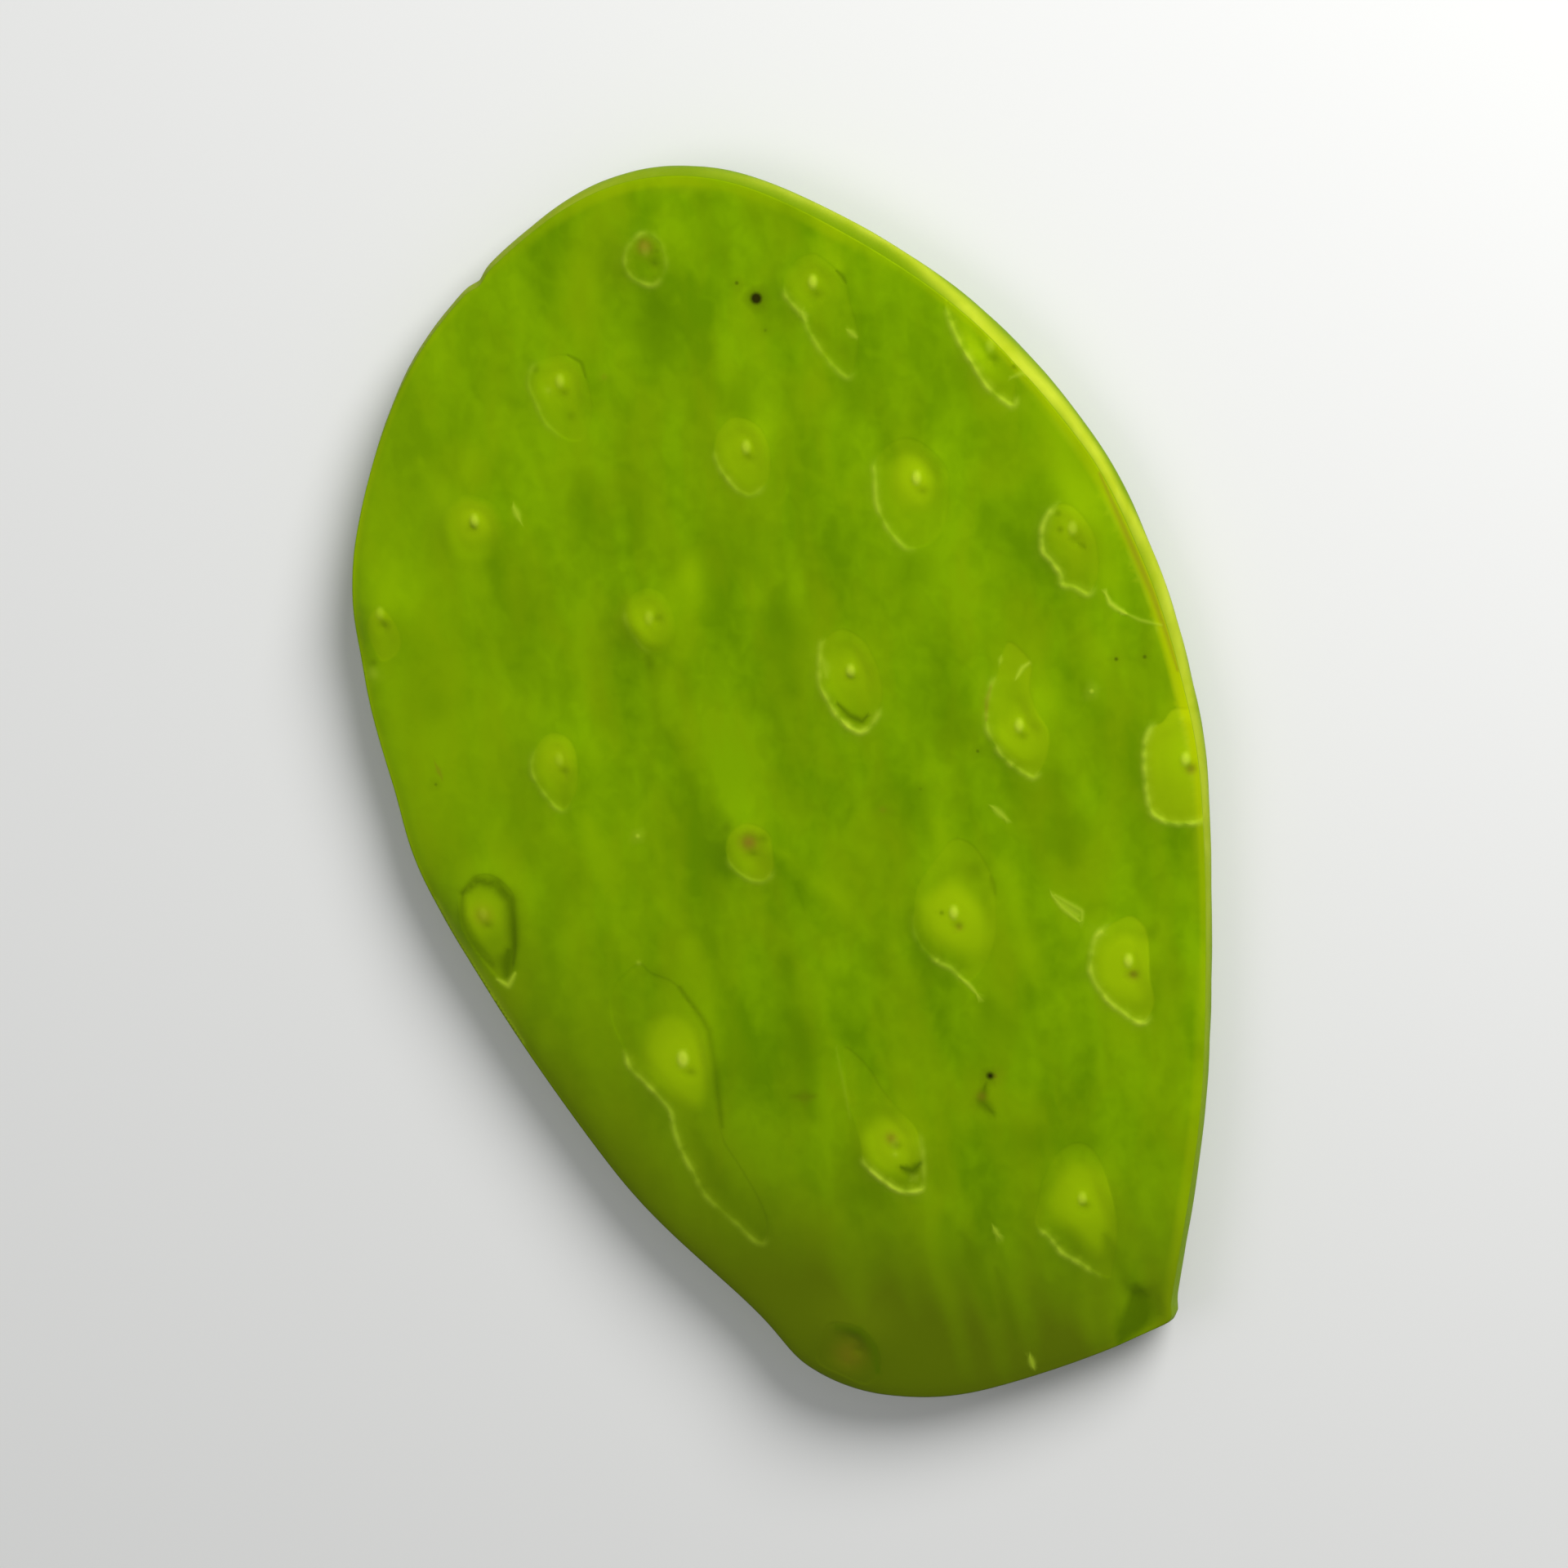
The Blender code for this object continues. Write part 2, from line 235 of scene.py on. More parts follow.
# The cuts of the upper face, by the column and row of their areoles, in millimetres from the areole.
# stray is how far the areole lies off the lattice, and outline the edge that the knife left.
# lips say from which point of the outline to which it is raised, and how strongly.
# glow is the strength and reach of the brighter middle, boss its outline, and bare how pale the cut is.
# dot and dotSize are for the pale nub, which also carries a painted highlight, dimple is the place of the pit
# below it, darkened with painted shade, and depth a share of the cut's.
# dark, pale and brown are strokes: a width, a strength and one or more points. Many dark strokes are painted
# shade, along a cut's right side and in the hollows inside and beside it; the others are dark marks of the
# skin.
upperCuts = {
    (0, 0): dict(
        stray=(-1.6, 0.3), glow=(0.2, 2.5), dot=0.25, dimple=(0.7, -2.7),
        lips=((3.5, 8.3, 0.5), (0.5, 3.5, 0.2)),
        outline=((0.3, 2.6), (2.3, 1.2), (2.8, -1), (2.3, -3.9), (-0.2, -5.8), (-3, -4.2),
            (-3.9, -1.8), (-2.8, 0.8)),
        dark=((0.5, 0.4, (-0.3, 1.5)), (0.45, 0.4, (1.8, -0.7))), brown=((1.2, 0.9, (0, 0.5)),),
    ),
    (1, 0): dict(
        stray=(-0.9, 3.4), glow=(0.7, 3.8), lips=((8.8, 10, 0.8), (6, 8.8, 0.35)),
        outline=((1, 4.5), (4, 1.5), (5.2, -1.5), (5.1, -5), (5.2, -9), (4.2, -13), (1.9, -16.2),
            (-0.7, -12.8), (-2.5, -8), (-3.1, -4.6), (-4.9, -0.5), (-3.2, 3.2)),
        dark=((0.4, 0.6, (4.1, 0.8), (4.8, -0.2), (5.1, -1.4)), (1.6, 0.3, (2, -12))),
        pale=((0.45, 0.5, (4, -9.3)), (0.6, 0.7, (-2.8, -4.2), (-2.7, -5.7))),
    ),
    (2, 0): dict(
        stray=(0, -2.9), glow=(0.0, 3), dot=0.4, lips=((0.6, 6.2, 0.85),),
        outline=((-5.3, 10), (-5.2, 5), (-4.3, 1), (-3.2, -2.2), (-2, -6), (-0.2, -8.6), (1.5, -10.1),
            (2.6, -7.5), (3.8, -4), (6, 2), (2, 9), (-3, 14)),
        dark=((0.45, 0.6, (3, -4.1)),),
    ),
    (-1, 1): dict(
        stray=(-0.1, -1.4), glow=(1.0, 3.4), dot=0.7, lips=((6, 10, 0.25),),
        outline=((1.5, 4.2), (4.2, 2.3), (4.6, -1.5), (4, -6), (1.5, -10), (-1, -9.9), (-2.8, -8.2),
            (-4.3, -5.8), (-4.8, -2.5), (-5.2, 1), (-3, 3.8)),
        dark=((0.35, 0.5, (2.3, 3.8), (4.2, 2.1), (4.3, -0.5)), (0.6, 0.4, (-3.5, 2.6)),
            (0.8, 0.35, (0.3, -5.9))),
        pale=((0.5, 0.35, (-2.3, -1)),),
    ),
    (0, 1): dict(
        stray=(1.7, -0.2), glow=(0.75, 4.0), bare=0.22, dot=0.8, dimple=(-0.2, -1.9),
        lips=((4.5, 9, 0.5),),
        outline=((-0.7, 5.3), (2.8, 3.2), (3.8, -0.3), (3.3, -3.7), (2, -6.2), (-1, -7.8), (-3, -6.7),
            (-4.3, -4.3), (-5.2, -2), (-5.2, 1), (-3.7, 3.7)),
    ),
    (1, 1): dict(
        stray=(2.0, 3.0), glow=(1.3, 3.4), bare=0.09, dot=1.2, dimple=(0.3, -2.4), lips=((6, 12, 0.55),),
        outline=((0.3, 6.6), (3.2, 4.2), (5.3, 0), (4.6, -3.5), (3, -8), (0, -10.8), (-3.8, -11),
            (-5.7, -8.8), (-6.8, -6), (-7.3, -3), (-7.2, -1.5), (-6.6, 1.5), (-6, 4.2), (-3, 6.4)),
        boss=((-1.2, 4.2), (1.4, 3), (2.2, 0), (1.5, -3.6), (-0.5, -4.8), (-2.6, -3.6), (-3.6, -0.8),
            (-3, 2.5)),
    ),
    (2, 1): dict(
        stray=(-0.8, -0.5), glow=(1.1, 3.8), bare=0.22, dot=0.8, dimple=(-0.2, -2),
        lips=((5, 14.6, 0.85),),
        outline=((-1, 4.4), (1.2, 3.2), (3, -0.6), (3.2, -4), (2.4, -8), (0.6, -10.8), (-0.4, -11),
            (-2, -9.5), (-3.8, -8.6), (-3.7, -7), (-4.6, -4.5), (-5.5, -2.8), (-5.3, -0.8), (-4.5, 1.5),
            (-3, 3.2)),
        dark=((0.6, 0.5, (-1.7, 2.8)), (0.6, 0.5, (-2, 0.2)), (0.5, 0.4, (0.3, -2.6), (1.2, -3.6))),
        pale=((0.55, 0.7, (-3.8, -8.5)),),
    ),
    (-2, 2): dict(
        stray=(1.1, -3.3), glow=(1.5, 3.7), bare=0.0, depth=0.2, dimple=(-0.8, -1.3),
        outline=((0, 4.6), (3.9, 2.2), (5, -2.2), (3.4, -6.2), (-1.1, -7.8), (-5, -6.2), (-6.3, -2.4),
            (-5.4, 1.6), (-3.1, 4)),
    ),
    (-1, 2): dict(
        stray=(-1.0, -2.6), glow=(1.0, 4.2), dot=0.5, depth=0.4, dimple=(1.2, -0.6),
        lips=((5, 7.5, 0.2),),
        outline=((0.5, 5), (3.2, 3.5), (4.2, 0), (3.6, -3.5), (1, -6), (-1.8, -5.2), (-3.3, -2.4),
            (-3.9, 1), (-2.8, 3.8)),
        dark=((1.0, 0.45, (-2, -6.4), (-2, -8.4)),),
    ),
    (0, 2): dict(
        stray=(2.6, -0.1), glow=(0.85, 3.8), bare=0.14, dimple=(-0.3, -1.2),
        lips=((5, 14, 0.65), (6, 9.3, 1.1)),
        outline=((0, 7.2), (3.2, 4.8), (4.4, 1.4), (4.7, -2), (4.2, -5), (2.8, -7.6), (0.8, -9.6),
            (-1.2, -10.1), (-3, -8.3), (-4.3, -6), (-5, -3.3), (-5.5, -1.2), (-5.1, 0.6), (-4.3, 3.4),
            (-3.4, 5.7)),
        dark=((0.55, 0.8, (-3.3, -5), (-2, -7.2), (-0.3, -8.6), (0.7, -7.9)),),
        pale=((0.8, 0.35, (-4, 0.2), (-3.9, 2.8)),),
    ),
    (1, 2): dict(
        stray=(0.8, -0.7), glow=(0.85, 4), bare=0.25, dimple=(0, -2),
        lips=((8, 13.5, 0.85), (13.5, 16.5, 0.45)),
        outline=((1.5, 13.8), (3.7, 11.1), (4.3, 9), (3.2, 5.5), (3.6, 1.5), (4.6, -1.5), (4.2, -4),
            (2.8, -6.8), (0.4, -8.9), (-1, -7.9), (-2.4, -6.4), (-3.7, -4.5), (-4.7, -1.9), (-5.2, 0.8),
            (-4.8, 2.8), (-4, 5.1), (-2.7, 7.8), (-1.5, 9.1), (-0.6, 11.2)),
        boss=((0.5, 2.1), (3.6, 0.5), (4.5, -2.2), (2.8, -5), (0.5, -5.9), (-2, -4.6), (-3.7, -1.6),
            (-2.4, 1)),
        pale=((0.35, 0.8, (1.3, 7.6), (2.6, 9), (4, 9.6)), (0.35, 0.5, (-0.8, 10.5), (-0.3, 11.6))),
        brown=((0.35, 0.5, (-2.9, 7.4), (-4.2, 5), (-5, 2)),),
    ),
    (2, 2): dict(
        stray=(-0.7, -2.2), glow=(1.3, 5), bare=0.6, dot=1.2, dimple=(0.4, -1.8), lips=((0.8, 10, 0.8),),
        outline=((-2.3, 6.9), (-3.9, 6.5), (-5.6, 4.2), (-6.4, 1.5), (-6.9, -1.1), (-7.3, -4.1),
            (-7.3, -7.3), (-5.9, -9), (-4.6, -9.8), (-2, -10.5), (0.7, -10.6), (4, -9), (5, 0), (3.5, 7),
            (0, 8.5)),
        pale=((0.5, 1.0, (0.7, -10.6)),), brown=((0.8, 0.7, (0.4, -1.9)),),
    ),
    (-3, 3): dict(
        stray=(2.7, 3.8), glow=(0.9, 3), bare=0.25, dot=0.4, depth=0.5,
        outline=((-0.2, 1.1), (1.5, -0.4), (2.3, -3.9), (1.7, -6.4), (-0.2, -7.9), (-2.5, -7.9),
            (-3.2, -3.9), (-2.7, -0.9)),
    ),
    (-2, 3): dict(
        stray=(-1.7, 0.2), glow=(1.5, 3.6), bare=0.2, dot=0.4, lips=((5, 10, 0.4),),
        outline=((0.3, 4.6), (2.6, 3), (3.2, 0), (2.4, -3.6), (1.2, -6.2), (-1.3, -8.6), (-2.8, -7.9),
            (-4, -5.6), (-5, -2.9), (-5.2, -0.6), (-4, 2.1), (-2, 4.1)),
    ),
    (-1, 3): dict(
        stray=(-1.8, 2.4), glow=(0.4, 3), bare=0.28, dot=0.1, lips=((4.5, 8.5, 0.3),),
        outline=((0.2, 3.4), (2.4, 2.4), (3.8, 0.6), (3.7, -2), (3, -5.1), (1.2, -6.8), (-1, -6.5),
            (-3, -4.8), (-4.2, -2.8), (-4.3, -1), (-3.8, 0.8), (-2.8, 2.2), (-1, 3.2)),
        dark=((0.8, 0.4, (2.7, 0.2)), (0.9, 0.4, (-3, 3.2))), brown=((1.3, 1.15, (0, 0)),),
    ),
    (0, 3): dict(
        stray=(0.8, 2.0), glow=(1.25, 5.5), bare=0.12, dot=1.2, dimple=(0, -2.4),
        lips=((11, 13.5, 0.15), (8.8, 11.3, 0.6)),
        outline=((3, 12), (5.8, 10), (7.4, 5.6), (7.7, 3), (7, -1), (6, -5), (4, -8.5), (1.5, -11),
            (-0.5, -12), (-1.7, -10.7), (-2.8, -9), (-4.8, -7.4), (-6.7, -4.4), (-7.2, -1), (-6, 3),
            (-5, 5.3), (-3, 7.6), (-0.3, 9.9)),
        boss=((0.3, 4.9), (2.3, 2.9), (3.7, 0.9), (4.7, -3.1), (4.2, -6.1), (2.3, -7.4), (-1, -6.4),
            (-3.7, -4.4), (-5, -1.7), (-4.7, 2.3), (-2.3, 3.9)),
        dark=((0.4, 0.6, (-2, 0.3)), (1.8, 0.3, (4.7, 6.3)), (0.5, 0.35, (7.2, 4.5), (7.3, 1.5))),
        pale=((0.5, 0.8, (-4.7, -7.4)), (0.35, 0.8, (-1.7, -10.7), (-0.4, -12.4), (0.5, -14.2))),
        brown=((0.6, 0.5, (0.3, -2.6)),),
    ),
    (1, 3): dict(
        stray=(-0.7, 2.0), glow=(1.5, 5), bare=0.3, dot=1.25, dimple=(0, -2.6), lips=((6, 15.4, 0.9),),
        outline=((1.8, 7.3), (3.2, 6.2), (4.1, 4), (3.6, 0), (2.8, -4), (2.6, -7.8), (0.5, -10.6),
            (-1.2, -10.4), (-2.9, -8.4), (-4.5, -6.4), (-5.5, -4.4), (-6.2, -2.4), (-6.4, -0.1),
            (-5.5, 2.6), (-4.5, 4.6), (-2.9, 5.9), (-0.9, 6.8)),
        boss=((-0.5, 4.3), (2, 3.3), (2.8, 0), (2.3, -4.4), (0, -7.4), (-2.5, -6), (-4.3, -3.4),
            (-4.7, -0.5), (-3.5, 2.6)),
        dark=((1.3, 0.35, (4.5, 3.6)),), brown=((0.75, 0.75, (0.2, -2.5)),),
    ),
    (-3, 4): dict(
        stray=(-1.2, 1.2), glow=(1.1, 3.8), dot=0.3, depth=1.6,
        outline=((0.4, 6.7), (3.1, 6.3), (5.1, 4.3), (6.1, 2), (5.4, -1.3), (4.7, -4.3), (3.7, -7.7),
            (2.4, -10.3), (0.7, -12.7), (-0.9, -11), (-2.6, -7.7), (-3.6, -5), (-4.3, -1.3), (-3.6, 3),
            (-2.3, 5.3)),
        dark=((1.2, 1.0, (-2.6, 4.2), (0.4, 5.8), (3.7, 4.6), (5.3, 1.4), (4.9, -2), (3.9, -6), (2.6, -9.4)),
            (1.5, 1.0, (2.6, -7), (1, -11)),
            (1.1, 0.6, (-2.6, 4), (-3.7, 0.4), (-2.8, -4.6), (-0.8, -9))),
        pale=((0.5, 0.75, (2.6, -11), (0.8, -12.9), (-0.9, -11.4)),), brown=((1.6, 0.5, (-0.1, -0.2)),),
    ),
    (-2, 4): dict(
        stray=(-2.9, -3.2), glow=(1.25, 6), bare=0.0, dot=1.5, dotSize=1.3, dimple=(0.6, -2.7),
        lips=((18, 24.8, 0.65), (13, 18, 0.3)),
        outline=((-3.4, 17.3), (-1.6, 15.3), (1.6, 13.2), (3.1, 10.1), (5, 6.4), (5.6, 3.7),
            (5.4, -0.8), (4.7, -5.4), (3.8, -9.9), (3.4, -14.9), (5, -20), (6.8, -26.3), (7.2, -30.8),
            (5.6, -33.8), (3.8, -32.7), (2, -29.9), (-0.3, -26.8), (-2.3, -23.6), (-3.2, -19.9),
            (-4.2, -15.8), (-4.6, -11.8), (-4.4, -8.6), (-5.7, -5.8), (-7.5, -2.7), (-9.4, 0.1),
            (-9.6, 3.2), (-10.5, 8.7), (-9, 14)),
        boss=((-1.2, 7.5), (2, 6), (3.6, 2), (3.4, -4), (1, -8.5), (-2, -7), (-5, -2.5), (-6, 1.5),
            (-4.5, 5.5)),
        dark=((0.75, 0.5, (2.5, 11.9), (5, 6), (5.6, 4), (5.2, -2), (3.6, -12.7)),
            (1.8, 0.25, (-0.7, 14.6)), (2.4, 0.3, (-1, -13), (0.5, -22), (5, -32))),
        pale=((0.4, 0.5, (-3.4, 17.3)), (0.45, 0.6, (-4.5, -8.3), (-4.6, -10))),
    ),
    (-1, 4): dict(
        stray=(-0.1, -2.1), glow=(1.2, 4.2), dot=0.2, dimple=(0.2, -0.5),
        lips=((8, 13, 1.0), (5.5, 8, 0.4)),
        outline=((-4.4, 17.7), (-2.8, 16.1), (-1, 12.9), (0.2, 9.2), (2.2, 5.6), (4.3, 2),
            (4.3, -1.7), (3.6, -5.3), (2.6, -8.3), (0.4, -8.5), (-1.4, -7.8), (-3.2, -6), (-4.8, -3.9),
            (-6, -1.7), (-5.7, 2.9), (-6, 7.4), (-6, 12), (-5.3, 15.6)),
        boss=((-1, 4.5), (2.5, 3.5), (4, 0), (2, -4), (-1.5, -4.8), (-4.5, -2.5), (-5.3, 1),
            (-3.5, 3.5)),
        dark=((0.9, 1.0, (0.2, -4.1), (1.8, -5.1), (3.5, -4.0)),),
        pale=((0.9, 0.3, (1.2, -6.6), (2.4, -6)), (0.4, 0.5, (-0.3, -1.7))),
        brown=((1.0, 0.8, (-0.3, 1.1)),),
    ),
    (0, 4): dict(
        stray=(-0.5, 0.5), glow=(1.0, 6), dot=0.85, dimple=(0.1, -1.4), lips=((8, 12, 0.65),),
        outline=((0.5, 9.5), (3, 8.6), (4.5, 5.4), (5, 0.8), (5, -3.7), (4.1, -8.3), (2.7, -11.4),
            (1.4, -14.2), (-0.9, -12.8), (-3.2, -10.5), (-5.5, -8.3), (-6.8, -5.5), (-8.6, -2.8),
            (-7.3, 0.8), (-5.5, 4.5), (-2.7, 8.1)),
        boss=((0, 6.3), (3.6, 3.6), (4.5, -0.1), (3.2, -5.5), (0.5, -9.6), (-2.7, -5.1), (-5.9, -1.4),
            (-4.1, 3.1)),
    ),
    (-2, 5): dict(
        stray=(3.5, 0.1), glow=(0.0, 3), bare=0.0, dot=0.0,
        outline=((-1, 3.2), (2, 1.4), (3.5, -2.1), (3, -6.1), (0, -8.6), (-4, -6.1), (-7.5, -3),
            (-6, 0.4), (-4, 3.2)),
        dark=((1.0, 0.9, (-2.5, 2.6), (1.2, 1.2), (2.8, -2.2), (2.4, -6.6)), (0.9, 0.9, (0.6, 1.2))),
        brown=((2.6, 0.45, (-1.6, -2.6)), (0.6, 0.5, (-2.3, -3.6))),
    ),
}
cutDefaults = {
    "lips": (), "bare": 0.07, "glow": (0.45, 3.5), "boss": None, "dark": (), "pale": (), "brown": (),
    "depth": 1.0, "dot": 1.0, "dotSize": 1.0, "dimple": (0.0, -2.2),
}


def latticePlace(column, row):
    x = -0.3 + 24.5 * column + 4.0 * row + 1.01 * column * row + 0.97 * row**2 - 0.09 * column**2
    y = 92.2 - 16.4 * column - 31.3 * row - 2.66 * row**2 + 2.08 * column**2 + 0.13 * column * row
    return x, y


def plainCut(draw):
    # an ordinary cut for the lower face
    length = draw.uniform(9, 16)
    width, sink = length * draw.uniform(0.55, 0.85), draw.uniform(0, 2.5)
    outline = []
    for index in range(10):
        sine, cosine = turned(36 * index)
        bulge = draw.uniform(0.88, 1.1)
        outline.append((width / 2 * bulge * sine, length / 2 * bulge * cosine - sink))
    first = draw.uniform(4.2, 6)
    lips = ((first, first + draw.uniform(1.5, 3.5), draw.uniform(0.3, 1.0)),)
    brown = ((1.1, draw.uniform(0, 0.7), (0, 0)),)
    dot, bare = draw.uniform(0.2, 1.1), draw.uniform(0.15, 0.5)
    return dict(outline=outline, lips=lips, brown=brown, dot=dot, bare=bare)


def lipStrengths(knots, lips, curve):
    # how strong the raised lip is at each point of a cut's outline
    count = len(curve)
    places = np.array([np.linalg.norm(curve - knot, axis=1).argmin() for knot in np.array(knots)])
    places = np.concatenate([places, places + count])
    strengths = np.zeros(count)
    fade = areoleShape["lipFade"]
    for start, end, strength in lips:
        low, high = np.interp((start, end), np.arange(len(places)), places)
        for here in (np.arange(count), np.arange(count) + count):
            stretch = easeStep(low - fade, low + fade, here) * easeStep(high + fade, high - fade, here)
            strengths = np.maximum(strengths, strength * stretch)
    return strengths


def withOutline(areole):
    # adds the smooth outline, counter-clockwise, its lip and the plane that the knife left
    shape = areoleShape
    knots = areole["outline"]
    sides = np.diff(np.array(knots + knots[:1]), axis=0)
    count = int(np.linalg.norm(sides, axis=1).sum() / shape["outlineStep"])
    curve = closedCurve(knots, count)
    lip = lipStrengths(knots, areole["lips"], curve)
    size, usual, change = shape["lipBreaks"]
    breaks = softNoise(curve[:, 0], curve[:, 1], size, 1.0, areole["seed"] * 0.37 + 0.5)
    lip = lip * np.clip(usual + change * breaks, *shape["lipRange"])
    ahead = np.roll(curve, -1, axis=0)
    if (curve[:, 0] * ahead[:, 1] - ahead[:, 0] * curve[:, 1]).sum() < 0:
        curve, lip = curve[::-1], lip[::-1]
    swell = shape["swellHeight"] * hump(np.linalg.norm(curve, axis=1), shape["swellReach"])
    plane = np.linalg.lstsq(np.column_stack([curve, np.ones(count)]), swell, rcond=None)[0]
    areole.update(curve=curve, lip=lip, plane=plane)
    if areole["boss"]:
        boss = closedCurve(areole["boss"], 60)
        areole["boss"] = boss[::-1] if edgePlace(*boss.mean(axis=0)[:, None], boss)[0][0] < 0 else boss


def facesAreoles(face):
    found = []
    shape = areoleShape
    draw = random.Random(shape["lowerSeed"])
    for row in shape["rows"]:
        for column in shape["columns"]:
            drawn = plainCut(draw)
            if face == "upper":
                cut = upperCuts.get((column, row))
                if cut is None:
                    continue
                x, y = (place + aside for place, aside in zip(latticePlace(column, row), cut["stray"]))
            else:
                cut = drawn
                aside, along = shape["lowerShift"]
                x, y = latticePlace(column + aside, row + along)
                x = -x
                if edgePlace(np.array([x]), np.array([y]), plainEdge)[0][0] < shape["rimMargin"]:
                    continue
            seed = 100 * row + column + 1000 * (face == "lower")
            areole = {**cutDefaults, **cut, "x": x, "y": y, "seed": seed}
            withOutline(areole)
            found.append(areole)
    return found


# Marks of the upper face that belong to no areole: strokes of a width, a strength and one or more points.
padMarks = {
    # darker stretches: partly the skin's own darker green, partly painted shade beside the swellings and in
    # hollows
    "paintedShadeAndDim": (
        (4, 0.8, (-2, 84), (-4, 75)), (3.6, 1.0, (5.5, 34), (4, 18)), (3.5, 0.6, (4, 46), (4.5, 36)),
        (3.5, 0.7, (9, 69), (7, 62)), (3, 0.5, (-22, 60), (-21, 50)), (4, 0.6, (-56, 28)),
        (4, 0.6, (27.5, 33)), (3.5, 0.9, (51, 42), (50, 36)), (4, 0.7, (41, -11), (42, -19)),
        (3.6, 0.9, (-8, -26), (-10, -52)), (3.2, 0.9, (-4, -62), (-2.5, -69)),
        (3, 0.5, (-36, 44), (-34, 34)), (4, 0.5, (15, -1), (20, -9)), (3, 0.6, (9, 99), (10, 88)),
        (3, 0.5, (28, 12), (26, 2)), (2.5, 0.6, (14, -29), (17, -35)), (2.5, 0.5, (-44, -6), (-47, -14)),
        (4.5, 0.9, (23, -40), (25, -53)), (3.5, 0.6, (26, 67), (24, 58)), (3, 0.7, (8, -74), (8, -86)),
        (3.5, 0.5, (12, -62), (34, -66)),
    ),
    # lighter stretches: partly the skin's own lighter green, partly painted light on the left side and on
    # ridges that face the light
    "paintedLightAndLush": (
        (4, 0.6, (-14, 93), (-14, 82)), (3.2, 1.0, (-6, 44), (-12, 28)), (4.5, 0.9, (-47, 67), (-42, 45)),
        (3, 0.6, (45, 65), (48, 55)), (3.2, 0.7, (-35, 4), (-34, -10)),
        (1.8, 0.7, (-4, -8), (3, -17), (7, -25)), (2.8, 0.8, (31, -18), (32, -38)),
        (3, 0.8, (-10, -70), (-8, -82)), (3.5, 0.6, (-36, 74), (-40, 64)), (4.5, 1.0, (44, 8), (39, -4)),
        (4, 0.8, (-23, -20), (-25, -40)), (3, 0.5, (23, 50), (26, 40)), (4.5, 0.8, (55, 52), (58, 24)),
        (3, 0.7, (22, -9), (23, -20)), (3, 0.5, (-26, -6), (-24, -16)),
    ),
    "pale": (
        (0.40, 1.0, (57.2, 21.8), (57.5, 20.2), (58.4, 19.1), (59.6, 18)),
        (0.45, 1.0, (58.8, 18.6), (59.3, 18.2)), (0.3, 0.5, (59.6, 18), (61.5, 16.5), (64.7, 14.8)),
        (0.5, 0.6, (26.7, 72.5), (27.8, 71)), (0.4, 0.5, (50.7, 59.2), (53.9, 59.7)),
        (0.5, 0.7, (-33.8, 57.1), (-33.4, 54.7)), (0.5, 0.75, (31.4, -8), (33.1, -10.4)),
        (0.4, 0.8, (37.5, -24.4), (38.6, -26.6), (39.9, -28.4), (41, -29.8)),
        (0.4, 0.6, (37.9, -24.4), (39.4, -26), (41.6, -28), (41.2, -29.9)),
        (0.9, 0.5, (38.8, -26), (40.9, -28.6)), (0.35, 0.14, (-3.9, -54), (-3.4, -42)),
        (0.4, 0.9, (51.4, 7)), (0.4, 1.0, (-27.3, -0.5)), (0.45, 0.7, (15.2, -77), (15.6, -78.4)),
        (0.5, 0.8, (16, -99.8), (16.1, -102)), (1.0, 0.4, (-64.7, 35.3)), (0.25, 0.5, (38.4, 90.6)),
        # a painted highlight along the rounded left edge
        (0.9, 0.26, (-64, -4.5), (-62.2, -11), (-60.2, -17.5), (-58, -24), (-55.6, -31)),
    ),
    "dark": (
        (1.0, 0.85, (19.3, -53.4), (18.2, -55.6), (19.6, -58)), (0.6, 0.5, (-64, 37)),
        (1.6, 0.45, (10, -77), (11.5, -92)), (1.2, 0.35, (14, -84), (14.5, -96)),
        (1.4, 0.4, (33, -82), (34.5, -90)), (1.0, 0.4, (-11.8, -48.7), (-9.4, -49.2)),
    ),
    "brown": (
        (0.45, 0.5, (21.4, -51.9)), (1.2, 0.15, (-11.4, -49), (-9.6, -49.3)), (0.8, 0.5, (18.4, -54.8)),
        (0.5, 0.3, (-13.8, 74.2)), (0.4, 0.45, (-58, 18), (-57.6, 16)),
        (0.5, 0.6, (60.6, 41), (62.4, 31.5), (63.4, 25.9), (64.4, 20), (65.1, 13.5), (65.5, 7)),
        (0.6, 0.3, (13.8, -4.6)),
    ),
    "speck": (
        (0.95, 1.6, (13.6, 80.8)), (0.35, 0.7, (11.1, 83.9)), (0.3, 0.4, (13.8, 75.5)),
        (0.35, 0.8, (56.4, 11.2)), (0.35, 0.7, (60.9, 10.5)), (0.3, 0.6, (31.2, 1.5)),
        (0.3, 0.3, (20.6, -2.6)), (0.3, 0.5, (-58.9, 14.9)), (0.7, 1.2, (20.6, -51.7)),
    ),
}

